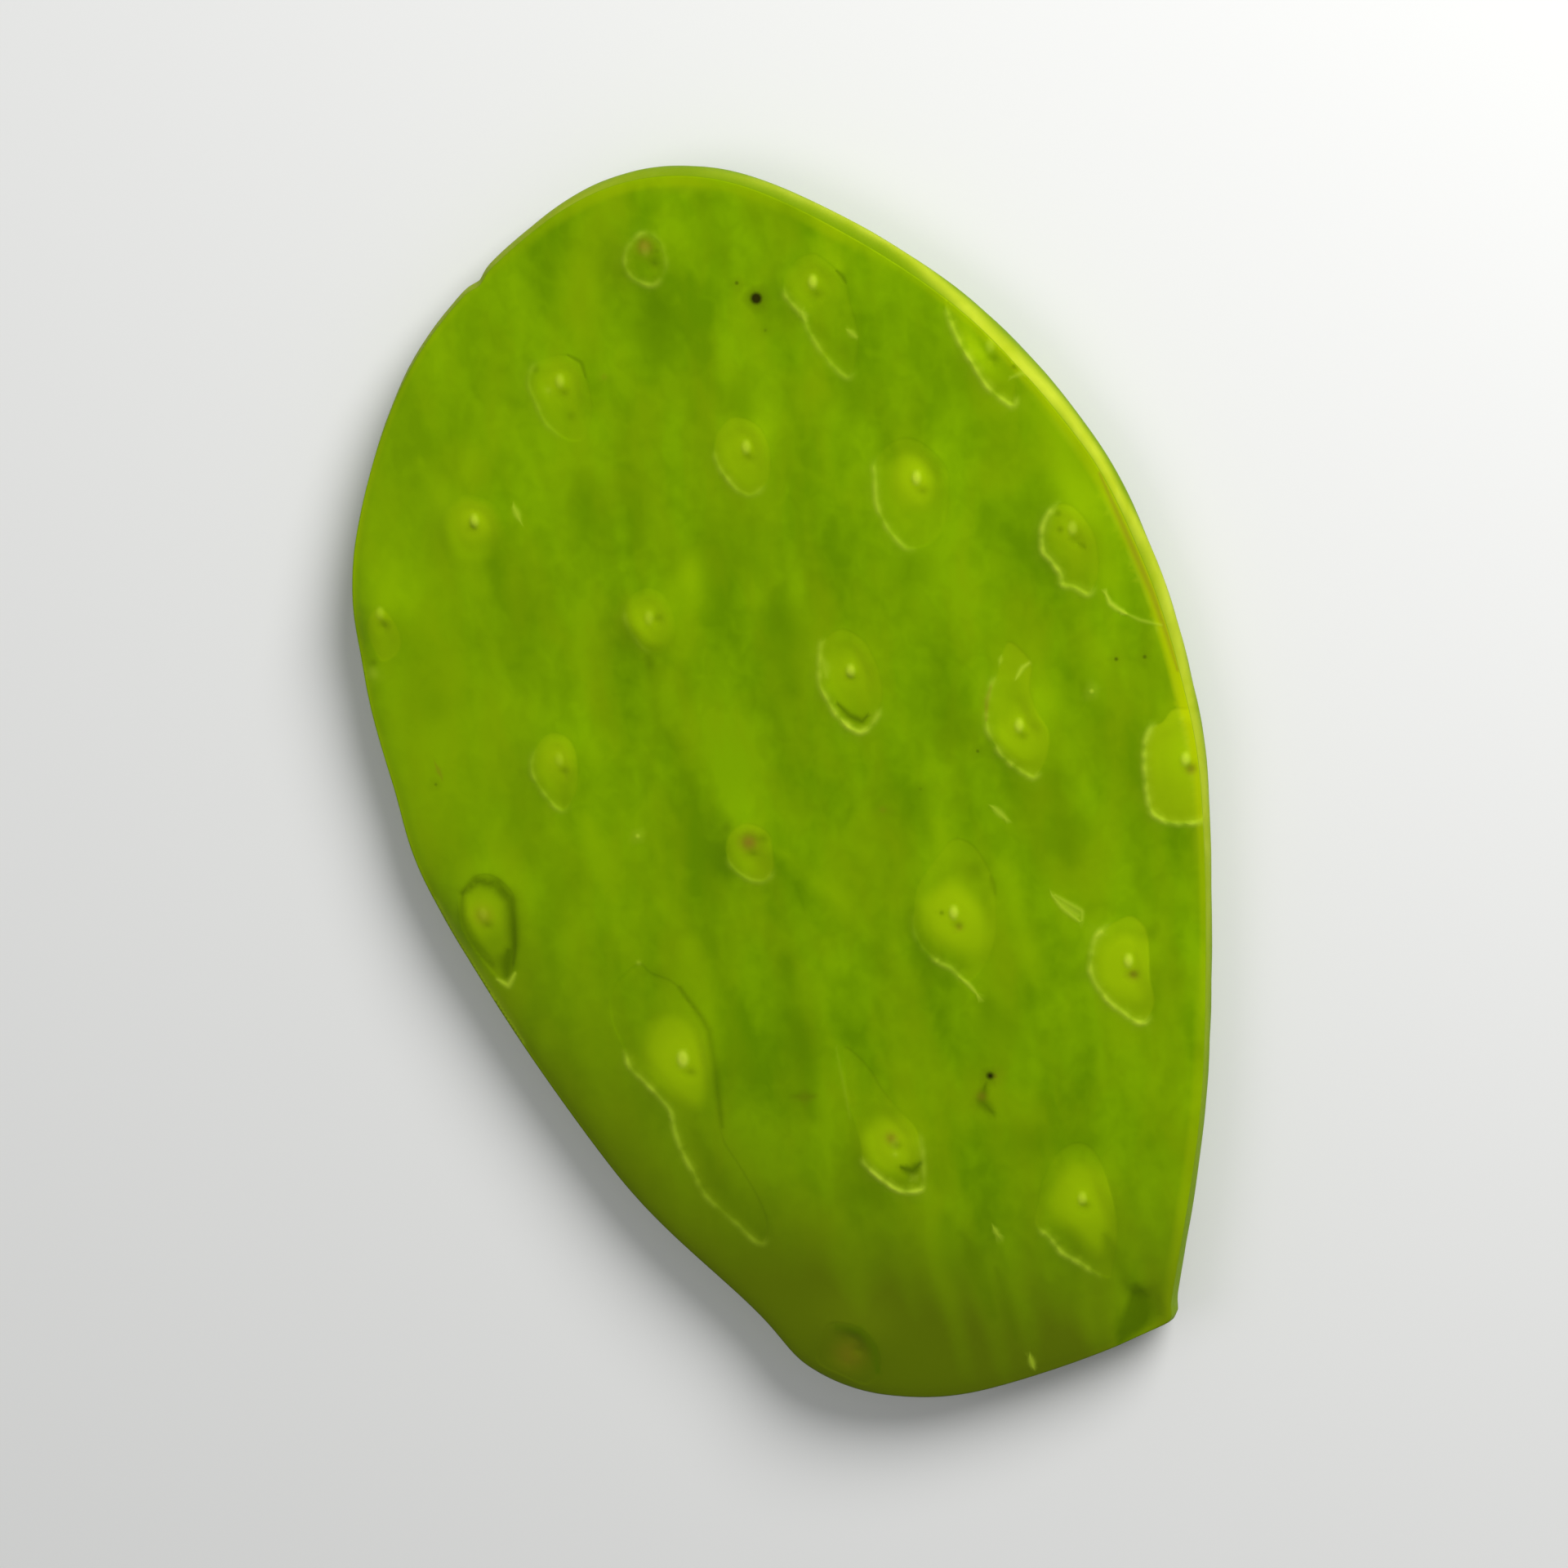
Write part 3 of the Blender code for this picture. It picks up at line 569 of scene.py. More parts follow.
# How the rim looks all the way round. The angle is in degrees from +X, the middle and width of the pale band
# are shares of the rim's height, yellow is for the skin beside the rim, and burnt for its browned edge.
rimColumns = ("angle", "paleness", "bandMiddle", "bandWidth", "yellowWidth", "yellowStrength", "burnt")
rimLooks = (
    (-146, 0.30, 0.0, 1.0, 1.0, 0.0, 0.6), (-107, 0.20, 0.0, 1.0, 1.0, 0.0, 0.9),
    (-75, 0.10, 0.0, 1.0, 1.0, 0.05, 0.4), (-60, 0.10, 0.1, 0.5, 1.6, 0.25, 0.1),
    (-47, 0.25, 0.05, 0.25, 1.6, 0.22, 0.0), (-31, 0.40, 0.1, 0.3, 1.0, 0.25, 0.0),
    (-20, 0.55, 0.2, 0.4, 1.2, 0.35, 0.0), (-10, 0.80, 0.1, 0.4, 1.2, 0.6, 0.0),
    (0, 0.85, 0.05, 0.35, 1.6, 0.85, 0.0), (12, 0.85, 0.3, 0.35, 1.7, 0.75, 0.0),
    (22, 0.90, 0.35, 0.32, 1.7, 0.55, 0.0), (31, 1.0, 0.14, 0.16, 1.6, 0.4, 0.0),
    (42, 0.95, 0.2, 0.2, 1.3, 0.4, 0.0), (53, 1.0, 0.05, 0.26, 1.0, 0.3, 0.0),
    (60, 0.80, 0.24, 0.2, 1.1, 0.2, 0.0), (67, 0.85, 0.45, 0.2, 1.2, 0.1, 0.0),
    (72, 0.70, 0.42, 0.22, 1.6, 0.25, 0.0), (78, 0.50, 0.36, 0.2, 1.5, 0.1, 0.0),
    (82, 0.30, 0.25, 0.2, 1.8, 0.15, 0.0), (86, 0.12, 0.2, 0.3, 2.0, 0.3, 0.0),
    (97, 0.45, 0.1, 0.5, 1.6, 0.2, 0.0), (109, 0.45, 0.3, 0.6, 1.0, 0.1, 0.0),
    (133, 0.30, 0.2, 1.0, 1.0, 0.2, 0.0), (166, 0.30, 0.1, 1.0, 1.0, 0.1, 0.3),
)
baseFacet = {
    "outline": (
        (33.2, -89.6), (36, -90.6), (39.5, -92), (40.5, -98), (35, -101.5), (30.2, -101.2), (31.3, -97),
    ),
    # the part of the facet that gets painted shade
    "shaded": (
        (35.4, -91), (37.6, -92.6), (37.6, -96.2), (36.4, -98.5), (33, -100.5), (30.4, -100.9), (31.3, -97),
        (33.5, -94.5),
    ),
    "shadedEdge": (-0.5, 0.9),
    "depth": 0.8,
    "reach": 3.0,
}
# How the skin is darkened and lightened: painted shade towards the lower left, a darker green in streaks
# towards the base, painted light on the left, and how far the browned skin reaches in from the rim.
skinPaintedLightAndTint = {
    "lowerLeftWay": (-0.75, -0.66),
    "lowerLeft": (35, 78),  # where the painted shade starts and is full, that way from the middle
    "lowerLeftStrength": 0.85,
    "base": (-60, -108),
    "baseStrength": (0.75, 0.7),  # and how much the streaks change it
    "baseStreaks": (5, 5, 4.4),
    "left": (15, 62),
    "leftStrength": 0.45,  # of the painted light, a lighter green
    "burntReach": 1.6,
}
rimLine = {
    "height": 0.06,
    "width": 0.28,
    "paleness": 0.55,
    "yellowEdge": (0.6, 1.3),  # shares of the yellow's width
    "breaks": (3, 1, 8.2),
}


def rimLook(x, y, column):
    looks = np.array(rimLooks)
    angles = np.degrees(np.arctan2(y, x))
    return np.interp(angles, looks[:, 0], looks[:, rimColumns.index(column)], period=360)


def pathDistance(path, x, y):
    # distance to a bent line, and the share of the line at its nearest point
    points = np.array(path, float)
    run = np.concatenate([[0.0], np.cumsum(np.linalg.norm(np.diff(points, axis=0), axis=1))])
    best, share = np.hypot(x - points[0, 0], y - points[0, 1]), np.zeros_like(x)
    for index in range(len(points) - 1):
        start, along = points[index], points[index + 1] - points[index]
        t = np.clip(((x - start[0]) * along[0] + (y - start[1]) * along[1]) / (along @ along), 0.0, 1.0)
        away = np.hypot(x - start[0] - t * along[0], y - start[1] - t * along[1])
        closer = away < best
        best = np.where(closer, away, best)
        share = np.where(closer, (run[index] + t * (run[index + 1] - run[index])) / run[-1], share)
    return best, share


def strokeMask(stroke, x, y):
    width, strength, *path = stroke
    away, share = pathDistance(path, x, y)
    if len(path) > 1:
        width = width * (0.45 + 0.55 * np.sin(math.pi * np.clip(share, 0.02, 0.98)))
    return strength * hump(away, width)


maskNames = (
    "paintedShadeAndDim", "paintedLightAndLush", "paintedShadeAndBase", "wound", "boss", "yellow", "burnt", "dark", "brown", "pale", "dot",
    "dimple", "speck",
)


def areoleBoss(areole, x, y, inset, wall):
    # the brighter flesh in the middle of a cut
    shape = areoleShape
    strength, reach = areole["glow"]
    glow = strength * hump(np.hypot(x, y), reach) * wall
    if areole["boss"] is None:
        return glow * easeStep(*shape["glowEdge"], inset)
    flesh = easeStep(*shape["bossEdge"], edgePlace(x, y, areole["boss"])[0])
    around, within, even = shape["bossShares"]
    return glow * (around + within * flesh) + even * strength * flesh * wall


def areoleNub(areole, x, y):
    shape = areoleShape
    sine, cosine = turned(shape["nubLean"])
    wide, long = (size * areole["dotSize"] for size in shape["nubSize"])
    away = np.hypot((x * cosine - y * sine) / wide, (x * sine + y * cosine) / long)
    return (1 - easeStep(*shape["nubEdge"], away)) * min(areole["dot"], 1.0)


def areoleRelief(areole, x, y, masks, near):
    # height of one areole with its cut, at places given from its middle
    shape = areoleShape
    inset, nearest = edgePlace(x, y, areole["curve"])
    wall = easeStep(*shape["wall"], inset)
    swell = shape["swellHeight"] * hump(np.hypot(x, y), shape["swellReach"])
    planeX, planeY, planeUp = areole["plane"]
    above = np.maximum(swell - planeX * x - planeY * y - planeUp, 0.0)
    cut = shape["cutDepth"] * areole["depth"] * wall + above * easeStep(0, shape["flattenReach"], inset)
    boss = areoleBoss(areole, x, y, inset, wall)
    nub = areoleNub(areole, x, y)
    lip = areole["lip"][nearest] * hump(inset + shape["lipOut"], shape["lipWidth"])
    band = areole["lip"][nearest] * hump(inset - shape["bandIn"], shape["bandWidth"]) * wall
    dimpleX, dimpleY = areole["dimple"]
    dimple = hump(np.hypot((x - dimpleX) * shape["dimpleWiden"], y - dimpleY), shape["dimpleReach"])
    height = swell - cut + shape["bossHeight"] * boss
    height += shape["nubHeight"] * nub - shape["dimpleDepth"] * dimple + shape["lipHeight"] * lip
    values = {
        "wound": np.maximum(areole["bare"], shape["bandPaleness"] * band) * wall,
        "boss": boss,
        "pale": lip,
        "dot": nub * max(areole["dot"], 1.0),
        "dimple": dimple,
    }
    for name, relief in shape["strokeRelief"].items():
        for stroke in areole[name]:
            mark = strokeMask(stroke, x, y)
            values[name] = np.maximum(values.get(name, 0.0), mark)
            if stroke[0] < shape["fineStroke"]:
                height += relief * mark
    for name, value in values.items():
        masks[name][near] = np.maximum(masks[name][near], value)
    return height


def skinRelief(face, areoles, x, y, masks):
    height = np.zeros_like(x)
    shape = areoleShape
    for areole in areoles:
        fromX, fromY = x - areole["x"], y - areole["y"]
        reach = np.linalg.norm(areole["curve"], axis=1).max() + shape["reachPastCut"]
        reach = max(reach, shape["swellReaches"] * shape["swellReach"])
        near = np.flatnonzero(np.hypot(fromX, fromY) < reach)
        if len(near):
            height[near] += areoleRelief(areole, fromX[near], fromY[near], masks, near)
    if face == "upper":
        patchy = np.clip(0.8 + 0.8 * softNoise(x, y, *shape["patches"]), 0.1, 1.4)
        for name, strokes in padMarks.items():
            for stroke in strokes:
                mark = strokeMask(stroke, x, y) * (patchy if name in ("paintedShadeAndDim", "paintedLightAndLush") else 1.0)
                masks[name] = np.maximum(masks[name], mark)
                if name == "pale" and stroke[0] < shape["fineStroke"]:
                    height += shape["markRelief"] * mark
    return height


def paintLightAndTintSkin(x, y, inside, masks):
    # painted shade towards the lower left, darker in streaks along the pad towards the base, painted light on
    # the left, and the browned skin beside the rim
    tint = skinPaintedLightAndTint
    wayX, wayY = tint["lowerLeftWay"]
    lowerLeft = easeStep(*tint["lowerLeft"], wayX * x + wayY * y)
    plain, streaked = tint["baseStrength"]
    nearBase = easeStep(*tint["base"], y) * (plain + streaked * softNoise(x, y, *tint["baseStreaks"]))
    masks["paintedShadeAndBase"][:] = np.clip(tint["lowerLeftStrength"] * lowerLeft + nearBase, 0, 1)
    left = tint["leftStrength"] * easeStep(*tint["left"], -x) * (1 - lowerLeft)
    masks["paintedLightAndLush"][:] = np.maximum(masks["paintedLightAndLush"], left)
    masks["burnt"][:] = rimLook(x, y, "burnt") * np.exp(-np.maximum(inside, 0.0) / tint["burntReach"])


def tintEdge(x, y, inside, masks):
    # yellows the skin beside the rim, and gives the thin pale line that lies inside that
    width, strength = rimLook(x, y, "yellowWidth"), rimLook(x, y, "yellowStrength")
    inner = inside - slantAt(x, y)
    start, end = rimLine["yellowEdge"]
    masks["yellow"][:] = strength * (1 - easeStep(start * width, end * width, inner))
    breaks = np.clip(0.6 + softNoise(x, y, *rimLine["breaks"]), 0, 1)
    line = strength**2 * hump(inner - width, rimLine["width"]) * breaks
    masks["pale"] = np.maximum(masks["pale"], rimLine["paleness"] * line)
    return line


def facetDepth(x, y, masks):
    # the small facet at the right end of the base, with painted shade on its shaded part
    facet, shaded = (closedCurve(baseFacet[name], 80)[::-1] for name in ("outline", "shaded"))
    sunk = easeStep(0, baseFacet["reach"], edgePlace(x, y, facet)[0])
    dark = easeStep(*baseFacet["shadedEdge"], edgePlace(x, y, shaded)[0])
    masks["dark"] = np.maximum(masks["dark"], dark)
    return baseFacet["depth"] * sunk


def skinHeight(face, areoles, x, y, masks):
    shape = padShape
    share = np.minimum(radiusShare(x, y), 1.0)
    half = shape["rimThickness"] / 2
    half = half + (shape["middleThickness"] - shape["rimThickness"]) / 2 * (1 - share ** shape["lensPower"])
    half = half + shape["baseExtra"] / 2 * easeStep(shape["baseReach"], 0.0, y - padLow[1])
    inside = edgePlace(x, y, plainEdge)[0]
    half = half - shape["shoulderDrop"] * np.exp(-np.maximum(inside, 0.0) / shape["shoulderReach"])
    across, along = x / (padSize[0] / 2), y / (padSize[1] / 2)
    waveX, waveY = shape["waveLengths"]
    wave = np.sin(math.tau * x / waveX + 1.0) * np.cos(math.tau * y / waveY)
    droop = np.where(x < 0, *shape["sideDroop"])
    middle = shape["restGap"] + shape["middleThickness"] / 2 + shape["waveHeight"] * wave
    middle = middle + shape["tipLift"] * along**2 - droop * across**2 + shape["twist"] * across * along
    relief = skinRelief(face, areoles, x, y, masks)
    ripple = shape["rippleHeight"] * softNoise(x, y, *shape["rippleSize"], shape["rippleSeeds"][face])
    ripple *= easeStep(0, shape["rippleFade"], inside)
    paintLightAndTintSkin(x, y, inside, masks)
    if face == "lower":
        return np.maximum(middle - half - relief - ripple, 0.0)
    line = tintEdge(x, y, inside, masks)
    sunk = facetDepth(x, y, masks)
    return np.minimum(middle + half + relief + ripple + rimLine["height"] * line - sunk, padHigh[2])


meshing = {
    "upperSpacing": 1.2,
    "lowerSpacing": 1.9,
    "cutSpacing": 0.72,
    "ringSpacing": 0.46,
    "cutRings": (0.0, -0.16, 0.16, -0.34, 0.34, 0.56, -0.62, 0.9),
    "rimInsets": (0.22, 0.6, 1.2, 2.0),
    "lowerCoarser": 1.9,
    "nubRings": ((0, 1), (0.4, 8), (0.75, 12), (1.05, 16), (1.5, 18)),  # each a radius and a number of points
    "dimpleRings": ((0.0, 1), (0.3, 8), (0.65, 12)),
    "speckRings": ((0, 1), (0.6, 8), (1.3, 12)),  # radii as shares of the speck's
    "strokeStep": 0.4,
    "strokeAsides": (0.0, -0.6, 0.6, -1.3, 1.3, -2, 2),  # shares of the stroke's width
    "widestStroke": {"cut": 1, "mark": 1.3},  # wider ones are soft enough for the plain grid
    "strokeRoom": 0.13,
    "ringRoom": 0.11,
    "cutRoom": 0.42,
    "skinRoom": 0.72,  # as a share of the spacing
    "pastCut": 1.4,
    "rimRoom": 0.15,
}


def addClear(kept, wanted, room):
    # adds the wanted points that keep the given room to those kept so far
    tree = KDTree(len(kept))
    for index, (x, y) in enumerate(kept):
        tree.insert((x, y, 0.0), index)
    tree.balance()
    clear = [point for point in wanted if tree.find((point[0], point[1], 0.0))[2] >= room]
    return np.vstack([kept, clear]) if clear else kept


def hexGrid(spacing):
    rowStep = spacing * math.sqrt(3) / 2
    rows = int(padSize[1] / 2 / rowStep) + 1
    columns = int(padSize[0] / 2 / spacing) + 1
    return np.array([
        ((column + 0.5 * (row % 2)) * spacing, row * rowStep)
        for row in range(-rows, rows + 1) for column in range(-columns, columns + 1)
    ])


def circle(x, y, radius, count):
    angles = np.arange(count) * math.tau / count
    return np.stack([x + radius * np.cos(angles), y + radius * np.sin(angles)], axis=1)


def strokePoints(stroke, fromX=0.0, fromY=0.0):
    # points along and beside a narrow stroke
    width, _, *path = stroke
    path = np.array(path, float) + (fromX, fromY)
    if len(path) == 1:
        return np.vstack([circle(*path[0], width * share, count) for share, count in meshing["speckRings"]])
    points = []
    for start, end in zip(path[:-1], path[1:]):
        along = end - start
        length = np.linalg.norm(along)
        normal = np.array([-along[1], along[0]]) / length
        for share in np.arange(0.0, 1.0, meshing["strokeStep"] / length):
            middle = start + along * share
            points += [middle + normal * width * aside for aside in meshing["strokeAsides"]]
    return np.array(points)


def markPoints(face, areoles):
    # points round each nub and dimple and along the narrow strokes
    middles, strokes = [], []
    widest = meshing["widestStroke"]
    for areole in areoles:
        x, y = areole["x"], areole["y"]
        dimpleX, dimpleY = x + areole["dimple"][0], y + areole["dimple"][1]
        middles += [circle(x, y, radius, count) for radius, count in meshing["nubRings"]]
        middles += [circle(dimpleX, dimpleY, radius, count) for radius, count in meshing["dimpleRings"]]
        for name in areoleShape["strokeRelief"]:
            strokes += [strokePoints(stroke, x, y) for stroke in areole[name] if stroke[0] < widest["cut"]]
    if face == "upper":
        for marks in padMarks.values():
            strokes += [strokePoints(stroke) for stroke in marks if stroke[0] < widest["mark"]]
    return np.vstack(middles + strokes)


def skinPoints(face, areoles, edge):
    coarse = 1.0 if face == "upper" else meshing["lowerCoarser"]
    kept = np.array(edge)
    for distance in meshing["rimInsets"]:
        kept = np.vstack([kept, insetRing(edge, distance)[::1 if distance < 1 else 2]])
    kept = addClear(kept, markPoints(face, areoles), meshing["strokeRoom"])
    for grown in meshing["cutRings"]:
        rings = []
        for areole in areoles:
            length = len(areole["curve"]) * areoleShape["outlineStep"]
            count = max(16, int(length / meshing["ringSpacing"] / coarse))
            picked = np.linspace(0, len(areole["curve"]), count, endpoint=False).astype(int)
            rings.append(insetRing(areole["curve"], -grown)[picked] + (areole["x"], areole["y"]))
        kept = addClear(kept, np.vstack(rings), meshing["ringRoom"] * coarse)
    grid = hexGrid(meshing["cutSpacing"] * coarse)
    inside = np.zeros(len(grid), bool)
    for areole in areoles:
        inset = edgePlace(grid[:, 0] - areole["x"], grid[:, 1] - areole["y"], areole["curve"])[0]
        inside |= inset > -meshing["pastCut"]
    kept = addClear(kept, grid[inside], meshing["cutRoom"] * coarse)
    spacing = meshing[face + "Spacing"]
    kept = addClear(kept, hexGrid(spacing), meshing["skinRoom"] * spacing)
    rim, rest = kept[:len(edge)], kept[len(edge):]
    clear = edgePlace(rest[:, 0], rest[:, 1], edge)[0] > meshing["rimRoom"]
    return np.vstack([rim, rest[clear]])


def trianglesInside(points, edgeCount):
    border = [(index, (index + 1) % edgeCount) for index in range(edgeCount)]
    flat = [Vector(point) for point in points]
    _, _, triangles, sources, _, _ = delaunay_2d_cdt(flat, border, [], 0, 1e-7, True)
    inside = []
    for triangle in triangles:
        corners = [sources[index][0] for index in triangle]
        turns = (corners.index(min(corners)) - corners.index(max(corners))) % 3
        if max(corners) >= edgeCount or turns == 1:
            inside.append(corners)
    return inside


def slantAt(x, y):
    # how far the top of the rim leans in
    sine, cosine = turned(padShape["slantSide"])
    away = np.maximum(np.hypot(x, y), 1e-6)
    facing = np.clip((x * cosine + y * sine) / away, padShape["leastLean"], 1.0)
    overhang = padShape["overhang"] * easeStep(*padShape["overhangFacing"], -x / away)
    return padShape["rimSlant"] * facing**2 - overhang


def nicked(edge):
    # the outline with the small nick beside its tip
    x, y, depth, width = padShape["notch"]
    return insetRing(edge, depth * hump(np.hypot(edge[:, 0] - x, edge[:, 1] - y), width))


def makeSkins(edge, slant, verts, faces, masks):
    # adds both skins, and gives the numbers and places of the points on their edges
    count = len(edge)
    rims = {}
    for face in ("upper", "lower"):
        areoles = facesAreoles(face)
        points = skinPoints(face, areoles, insetRing(edge, slant) if face == "upper" else edge)
        here = {name: np.zeros(len(points)) for name in maskNames}
        heights = skinHeight(face, areoles, points[:, 0], points[:, 1], here)
        first = sum(len(part) for part in verts)
        verts.append(np.column_stack([points, heights]))
        triangles = trianglesInside(points, count)
        for triangle in triangles:
            ordered = triangle if face == "upper" else triangle[::-1]
            faces.append([first + index for index in ordered])
        rims[face] = first + np.arange(count), verts[-1][:count]
        for name in maskNames:
            masks[name].append(here[name])
        counts = (face, len(areoles), len(points), len(triangles))
        print("%s skin: %d areoles, %d points, %d triangles" % counts)
    return rims


def makeRim(edge, slant, rims, verts, faces, masks):
    # adds the trimmed rim between the two skins
    count = len(edge)
    shape = padShape
    rows = [rims["upper"][0]]
    first = sum(len(part) for part in verts)
    start, end = shape["rimEnds"]
    shares = [start] + [row / shape["rimRows"] for row in range(1, shape["rimRows"])] + [end]
    turnsRound = np.arange(count) * math.tau / count
    x, y = edge[:, 0], edge[:, 1]
    paleness, bandMiddle, bandWidth = (rimLook(x, y, name) for name in rimColumns[1:4])
    cutStart, cutEnd, cutTop = shape["baseCut"]
    startEdge, endEdge, topEdge = shape["baseCutEdges"]
    baseShare = easeStep(*startEdge, x - cutStart) * easeStep(*endEdge, x - cutEnd)
    baseShare *= easeStep(*topEdge, y - cutTop)
    for share in shares:
        bulge = math.sin(math.pi * share)
        outwards = shape["rimBulge"] * bulge - (slant * (1 - bulge) if share < 0.5 else 0.0)
        scrape = shape["scrapeHeight"] * ringNoise(turnsRound * 9 + 2.0 * share, shape["scrapeSeed"])
        ring = insetRing(edge, -outwards + scrape * bulge**0.5)
        z = rims["upper"][1][:, 2] * (1 - share) + rims["lower"][1][:, 2] * share
        verts.append(np.column_stack([ring, z]))
        onRim = {"pale": paleness * hump(share - bandMiddle, bandWidth), "burnt": baseShare}
        for name in maskNames:
            masks[name].append(onRim.get(name, np.zeros(count)))
        rows.append(first + np.arange(count))
        first += count
    rows.append(rims["lower"][0])
    for above, below in zip(rows[:-1], rows[1:]):
        for index in range(count):
            after = (index + 1) % count
            faces.append((above[index], below[index], below[after], above[after]))


def makePad():
    shape = padShape
    edge = nicked(padOutline(shape["rimPoints"]))
    turnsRound = np.arange(len(edge)) * math.tau / len(edge)
    wobble = shape["knifeWobble"] * ringNoise(turnsRound * 3, shape["wobbleSeed"])
    slant = slantAt(edge[:, 0], edge[:, 1]) + shape["slantExtra"] + wobble * shape["slantWobble"]
    verts, faces = [], []
    masks = {name: [] for name in maskNames}
    rims = makeSkins(edge, slant, verts, faces, masks)
    skinFaces = len(faces)
    makeRim(edge, slant, rims, verts, faces, masks)
    slots = [0] * skinFaces + [1] * (len(faces) - skinFaces)
    verts = np.vstack(verts)
    fit = (padSize[:2] / 2) / np.abs(verts[:, :2]).max(axis=0)
    verts[:, :2] *= np.minimum(fit, 1.0)
    mesh = bpy.data.meshes.new("cactusPad")
    mesh.from_pydata((verts * toMetres).tolist(), [], [[int(index) for index in face] for face in faces])
    mesh.polygons.foreach_set("material_index", slots)
    mesh.shade_smooth()
    for name in maskNames:
        attribute = mesh.attributes.new(name, "FLOAT", "POINT")
        attribute.data.foreach_set("value", np.concatenate(masks[name]).astype(np.float32))
    mesh.update()
    pad = bpy.data.objects.new("cactusPad", mesh)
    bpy.context.scene.collection.objects.link(pad)
    return pad


def newMaterial(name):
    material = bpy.data.materials.new(name)
    material.use_nodes = True
    material.node_tree.nodes["Principled BSDF"].location = (900, 0)
    return material, material.node_tree


def addNode(tree, kind, place, settings=(), **values):
    node = tree.nodes.new(kind)
    node.location = place
    for name, value in dict(settings).items():
        setattr(node, name, value)
    for name, value in values.items():
        node.inputs[name].default_value = value
    return node


def maskSocket(tree, name, place):
    return addNode(tree, "ShaderNodeAttribute", place, {"attribute_name": name}).outputs["Fac"]


def plugIn(tree, value, socket):
    # links a socket, or sets a number or a colour
    if isinstance(value, bpy.types.NodeSocket):
        tree.links.new(value, socket)
    else:
        socket.default_value = (*value, 1.0) if isinstance(value, tuple) else value


def calculate(tree, operation, first, second, place, clamp=False):
    node = addNode(tree, "ShaderNodeMath", place, {"operation": operation, "use_clamp": clamp})
    plugIn(tree, first, node.inputs[0])
    plugIn(tree, second, node.inputs[1])
    return node.outputs[0]


def layOver(tree, below, colour, mask, place):
    # mixes a colour over what lies below it, by a mask
    node = addNode(tree, "ShaderNodeMix", place, {"data_type": "RGBA", "clamp_factor": True})
    for number, value in ((0, mask), (6, below), (7, colour)):
        plugIn(tree, value, node.inputs[number])
    return node.outputs[2]


def remap(tree, socket, fromRange, toRange, place):
    node = addNode(tree, "ShaderNodeMapRange", place)
    tree.links.new(socket, node.inputs["Value"])
    for name, value in zip(("From Min", "From Max", "To Min", "To Max"), fromRange + toRange):
        node.inputs[name].default_value = value
    return node.outputs["Result"]


def newGroup(name, inputs, outputs):
    group = bpy.data.node_groups.new(name, "ShaderNodeTree")
    for label, default in inputs.items():
        socket = group.interface.new_socket(label, in_out="INPUT", socket_type="NodeSocketFloat")
        socket.default_value = default
    for label in outputs:
        group.interface.new_socket(label, in_out="OUTPUT", socket_type="NodeSocketFloat")
    return group, group.nodes.new("NodeGroupInput"), group.nodes.new("NodeGroupOutput")


def placeGroup(tree, group, place, **values):
    return addNode(tree, "ShaderNodeGroup", place, {"node_tree": group}, **values)


# output, scale against Size, stretch against Stretch, detail and step of the seed
mottleLayers = (
    ("Broad", 1.0, 1.0, 2.5, 0.0),
    ("Streaks", 1.8, 2.0, 1.2, 7.0),
    ("Hue", 1.6, 1.2, 3.0, 13.0),
    ("Blotches", 5.0, 0.6, 1.5, 19.0),
)


def growthMottleGroup():
    # soft lighter and darker stretches and streaks that run along the pad, as it grew
    inputs = {"Size": 0.016, "Stretch": 2.0, "Lean": 0.0, "Seed": 0.0}
    group, ins, outs = newGroup("growthMottle", inputs, [layer[0] for layer in mottleLayers])
    links = group.links
    where = addNode(group, "ShaderNodeTexCoord", (-1100, 0))
    leaned = addNode(group, "ShaderNodeVectorRotate", (-900, 0), {"rotation_type": "Z_AXIS"})
    links.new(where.outputs["Object"], leaned.inputs["Vector"])
    links.new(ins.outputs["Lean"], leaned.inputs["Angle"])
    for row, (label, factor, longer, detail, step) in enumerate(mottleLayers):
        height = 300 - 300 * row
        scale = calculate(group, "DIVIDE", factor, ins.outputs["Size"], (-700, height + 120))
        along = calculate(group, "DIVIDE", 1.0 / longer, ins.outputs["Stretch"], (-700, height - 60))
        shares = addNode(group, "ShaderNodeCombineXYZ", (-520, height), X=1.0, Z=1.0)
        links.new(along, shares.inputs["Y"])
        drawn = addNode(group, "ShaderNodeVectorMath", (-340, height), {"operation": "MULTIPLY"})
        links.new(leaned.outputs[0], drawn.inputs[0])
        links.new(shares.outputs[0], drawn.inputs[1])
        seed = calculate(group, "ADD", ins.outputs["Seed"], step, (-340, height - 150))
        settings = {"noise_dimensions": "4D"}
        cloud = addNode(group, "ShaderNodeTexNoise", (-140, height), settings, Detail=detail, Distortion=0.5)
        for name, socket in (("Vector", drawn.outputs[0]), ("W", seed), ("Scale", scale)):
            links.new(socket, cloud.inputs[name])
        links.new(cloud.outputs["Fac"], outs.inputs[label])
    return group


def fineGrainGroup():
    # the fine grain of skin or cut flesh
    group, ins, outs = newGroup("fineGrain", {"Size": 0.0008}, ("Grain",))
    where = addNode(group, "ShaderNodeTexCoord", (-700, 0))
    scale = calculate(group, "DIVIDE", 1.0, ins.outputs["Size"], (-500, -150))
    cloud = addNode(group, "ShaderNodeTexNoise", (-200, 100), Detail=3.0, Roughness=0.6)
    group.links.new(where.outputs["Object"], cloud.inputs["Vector"])
    group.links.new(scale, cloud.inputs["Scale"])
    group.links.new(cloud.outputs["Fac"], outs.inputs["Grain"])
    return group


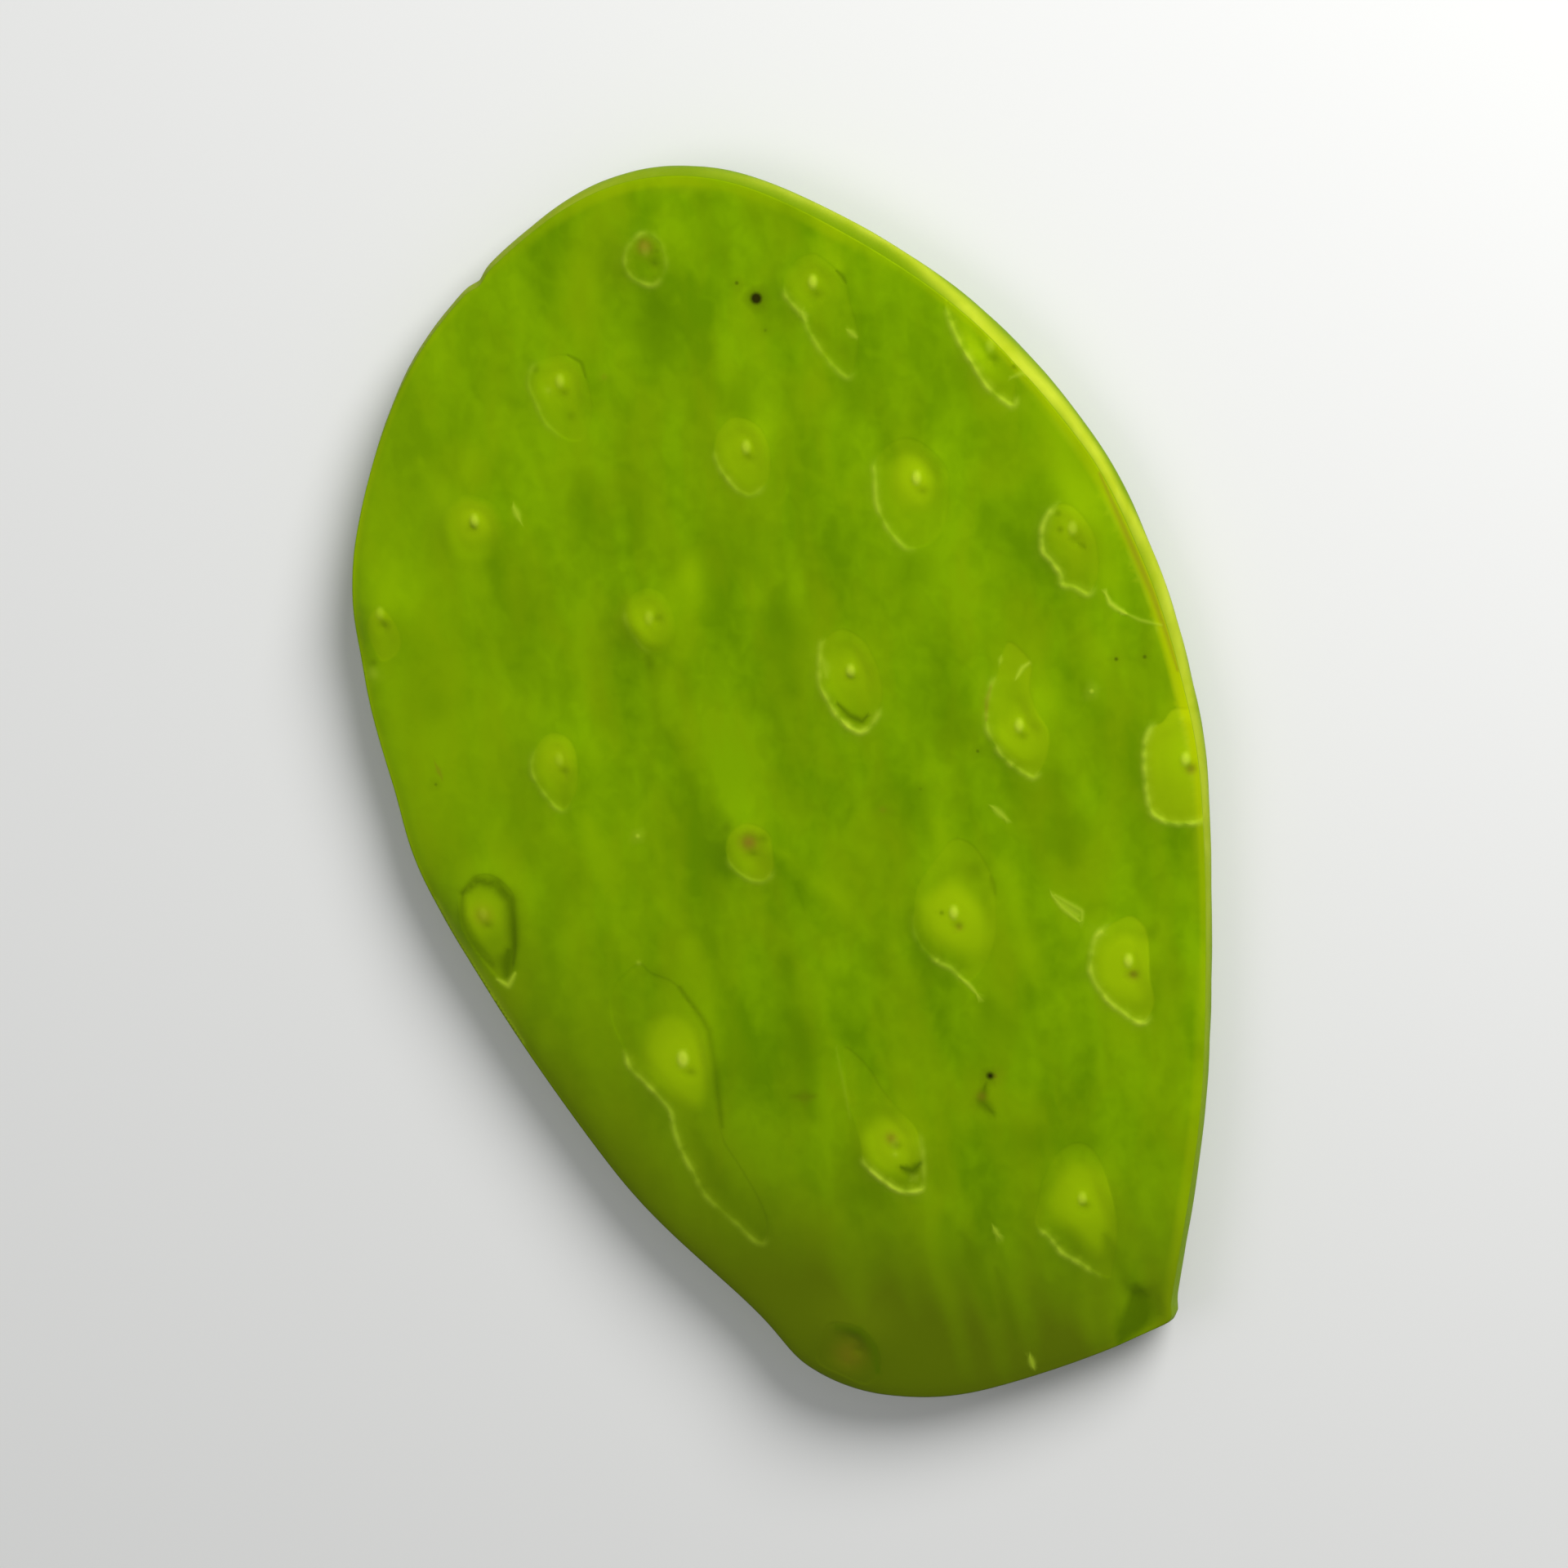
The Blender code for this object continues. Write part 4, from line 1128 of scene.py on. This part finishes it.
fleshGlow = {"radius": (0.7, 1.0, 0.15), "scale": 0.0015}  # of the light inside the flesh, in metres
grainRange = (0.3, 0.7)
skinFinish = {
    "light": (0.207, 0.386, 0.0010),
    "dark": (0.120, 0.252, 0.0006),
    "warm": (0.205, 0.322, 0.0010),
    "layers": (  # mask, colour and strength, from the lowest layer up
        # a darker green, partly painted shade
        ("paintedShadeAndDim", (0.095, 0.205, 0.0006), 0.75),
        # a lighter green, partly painted light
        ("paintedLightAndLush", (0.245, 0.420, 0.0010), 0.75),
        # painted shade towards the lower left, and a darker, duller green towards the base
        ("paintedShadeAndBase", (0.098, 0.146, 0.0028), 1.0),
        ("wound", (0.340, 0.480, 0.0030), 1.0),
        ("boss", (0.310, 0.480, 0.0020), 0.80),
        ("yellow", (0.420, 0.520, 0.0012), 1.0),
        ("burnt", (0.085, 0.118, 0.0035), 0.50),
        # dark marks of the skin, and painted shade along and inside the cuts and on the base facet's shaded
        # part
        ("dark", (0.070, 0.135, 0.0010), 0.85),
        ("brown", (0.235, 0.165, 0.0100), 0.85),
        ("pale", (0.460, 0.620, 0.0320), 0.74),
        # the pale nub, with a painted highlight on it
        ("dot", (0.500, 0.660, 0.0350), 0.72),
        # painted shade in the pit below the nub
        ("dimple", (0.080, 0.145, 0.0010), 0.32),
        ("speck", (0.012, 0.012, 0.0020), 0.95),
    ),
    "mottle": {"Size": 0.0125, "Stretch": 2.0, "Lean": 0.10, "Seed": 2.0},
    "ranges": {  # of each mottle output, and what it is turned into
        "Broad": ((0.345, 0.655), (0.0, 1.0)),
        "Streaks": ((0.30, 0.70), (-0.22, 0.22)),
        "Blotches": ((0.32, 0.68), (-0.17, 0.17)),
        "Hue": ((0.42, 0.70), (0.0, 0.62)),
    },
    "roughness": (0.36, 0.50),
    "specular": 0.28,
    "specularTint": (0.86, 1.0, 0.0, 1.0),
    "subsurface": 0.10,
    "grainSize": 0.0009,  # in metres
    "grainRelief": (0.25, 0.00006),  # strength, and depth in metres
}


def setShader(tree, finish, grainGroup):
    # the fine grain changes the roughness a little and makes a slight relief
    shader = tree.nodes["Principled BSDF"]
    shader.inputs["Specular IOR Level"].default_value = finish["specular"]
    shader.inputs["Specular Tint"].default_value = finish["specularTint"]
    shader.inputs["Subsurface Weight"].default_value = finish["subsurface"]
    shader.inputs["Subsurface Radius"].default_value = fleshGlow["radius"]
    shader.inputs["Subsurface Scale"].default_value = fleshGlow["scale"]
    grain = placeGroup(tree, grainGroup, (-900, -900), Size=finish["grainSize"]).outputs["Grain"]
    rough = remap(tree, grain, grainRange, finish["roughness"], (500, -300))
    tree.links.new(rough, shader.inputs["Roughness"])
    strength, depth = finish["grainRelief"]
    bump = addNode(tree, "ShaderNodeBump", (650, -500), Strength=strength, Distance=depth)
    tree.links.new(grain, bump.inputs["Height"])
    tree.links.new(bump.outputs["Normal"], shader.inputs["Normal"])
    return shader


def waxySkin(mottleGroup, grainGroup):
    finish = skinFinish
    material, tree = newMaterial("waxySkin")
    shader = setShader(tree, finish, grainGroup)
    mottle = placeGroup(tree, mottleGroup, (-900, 400), **finish["mottle"])
    drawn = {}
    for row, (name, (found, wanted)) in enumerate(finish["ranges"].items()):
        drawn[name] = remap(tree, mottle.outputs[name], found, wanted, (-700, 700 - 250 * row))
    fine = calculate(tree, "ADD", drawn["Streaks"], drawn["Blotches"], (-500, 100))
    both = calculate(tree, "ADD", drawn["Broad"], fine, (-500, 400), clamp=True)
    colour = layOver(tree, finish["dark"], finish["light"], both, (-300, 400))
    colour = layOver(tree, colour, finish["warm"], drawn["Hue"], (-200, 550))
    for step, (name, tint, strength) in enumerate(finish["layers"]):
        mask = maskSocket(tree, name, (-500, -150 * step))
        mask = calculate(tree, "MULTIPLY", mask, strength, (-300, -150 * step))
        colour = layOver(tree, colour, tint, mask, (-100 + 80 * step, 300))
    tree.links.new(colour, shader.inputs["Base Color"])
    return material


rimFinish = {
    "light": (0.520, 0.600, 0.0350),
    "dark": (0.400, 0.490, 0.0120),
    "waxed": (0.152, 0.262, 0.0010),
    "baseLight": (0.190, 0.220, 0.0250),
    "baseDark": (0.105, 0.135, 0.0120),
    "specular": 0.03,
    "specularTint": (0.9, 1.0, 0.15, 1.0),
    "subsurface": 0.15,
    "roughness": (0.42, 0.60),
    "grainSize": 0.0006,
    "grainRelief": (0.35, 0.00012),
    "mottle": {"Size": 0.006, "Stretch": 1.0, "Seed": 5.0},
    "mottleRange": (0.32, 0.68),
}


def cutRim(mottleGroup, grainGroup):
    finish = rimFinish
    material, tree = newMaterial("trimmedRim")
    shader = setShader(tree, finish, grainGroup)
    mottle = placeGroup(tree, mottleGroup, (-900, 300), **finish["mottle"])
    share = remap(tree, mottle.outputs["Broad"], finish["mottleRange"], (0.0, 1.0), (-700, 300))
    flesh = layOver(tree, finish["dark"], finish["light"], share, (-400, 300))
    colour = layOver(tree, finish["waxed"], flesh, maskSocket(tree, "pale", (-600, 100)), (-200, 300))
    base = layOver(tree, finish["baseDark"], finish["baseLight"], share, (-400, 600))
    colour = layOver(tree, colour, base, maskSocket(tree, "burnt", (-600, -100)), (0, 300))
    tree.links.new(colour, shader.inputs["Base Color"])
    return material


mottleGroup = growthMottleGroup()
grainGroup = fineGrainGroup()
pad = makePad()
pad.data.materials.append(waxySkin(mottleGroup, grainGroup))
pad.data.materials.append(cutRim(mottleGroup, grainGroup))
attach(pad, "root")
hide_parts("pad")
print("pad made, %d faces" % len(pad.data.polygons))


studio = {
    "floorSize": 4.0,
    "floorColour": (0.86, 0.86, 0.84),
    "worldColour": (0.95, 0.97, 1.0),
    "worldStrength": 0.25,
    "keyTurn": 40,  # degrees from +X
    "keyRise": 38,
    "keyDistance": 0.9,
    "keySize": 0.55,
    "keyPower": 8.2,
    "fillTurn": 170,
    "fillRise": 55,
    "fillPower": 1.0,
}


def makeFloor():
    mesh = bpy.data.meshes.new("studioFloor")
    half = studio["floorSize"] / 2
    corners = [(-half, -half, 0), (half, -half, 0), (half, half, 0), (-half, half, 0)]
    mesh.from_pydata(corners, [], [(0, 1, 2, 3)])
    floor = bpy.data.objects.new("studioFloor", mesh)
    bpy.context.scene.collection.objects.link(floor)
    material, tree = newMaterial("paleFloor")
    shader = tree.nodes["Principled BSDF"]
    shader.inputs["Base Color"].default_value = (*studio["floorColour"], 1.0)
    shader.inputs["Roughness"].default_value = 0.9
    shader.inputs["Specular IOR Level"].default_value = 0.1
    mesh.materials.append(material)


def makeLight(name, turn, rise, power, aim):
    sine, cosine = turned(turn)
    up, flat = turned(rise)
    towards = Vector((cosine * flat, sine * flat, up))
    data = bpy.data.lights.new(name, "AREA")
    data.shape = "DISK"
    data.size = studio["keySize"]
    data.energy = power
    light = bpy.data.objects.new(name, data)
    light.location = aim + towards * studio["keyDistance"]
    light.rotation_euler = towards.to_track_quat("Z", "Y").to_euler()
    bpy.context.scene.collection.objects.link(light)


def makeWorld():
    world = bpy.data.worlds.new("studioWorld")
    world.use_nodes = True
    background = world.node_tree.nodes["Background"]
    background.inputs["Color"].default_value = (*studio["worldColour"], 1.0)
    background.inputs["Strength"].default_value = studio["worldStrength"]
    bpy.context.scene.world = world


lens = {
    "focalLength": 100.0,
    "distance": 0.717,
    "aim": (-0.00227, 0.00215, 0.0075),
    "lean": 15.0,  # degrees off the pad's normal
    "leanSide": 36.0,  # degrees from +X
    "roll": 14.0,  # degrees by which the picture's up side turns from +Y to +X
}


def makeCamera():
    data = bpy.data.cameras.new("camera")
    data.lens = lens["focalLength"]
    data.sensor_width = 36.0
    data.clip_start = 0.01
    lean, flat = turned(lens["lean"])
    sine, cosine = turned(lens["leanSide"])
    back = Vector((cosine * lean, sine * lean, flat))
    sine, cosine = turned(lens["roll"])
    right = Vector((sine, cosine, 0)).cross(back).normalized()
    up = back.cross(right)
    camera = bpy.data.objects.new("camera", data)
    placed = Matrix((right, up, back)).transposed().to_4x4()
    placed.translation = Vector(lens["aim"]) + back * lens["distance"]
    camera.matrix_world = placed
    bpy.context.scene.collection.objects.link(camera)
    bpy.context.scene.camera = camera


makeFloor()
makeLight("keyLight", studio["keyTurn"], studio["keyRise"], studio["keyPower"], Vector(lens["aim"]))
makeLight("fillLight", studio["fillTurn"], studio["fillRise"], studio["fillPower"], Vector(lens["aim"]))
makeWorld()
makeCamera()
bpy.context.scene.view_settings.view_transform = "Standard"
print("floor, lights and camera placed")
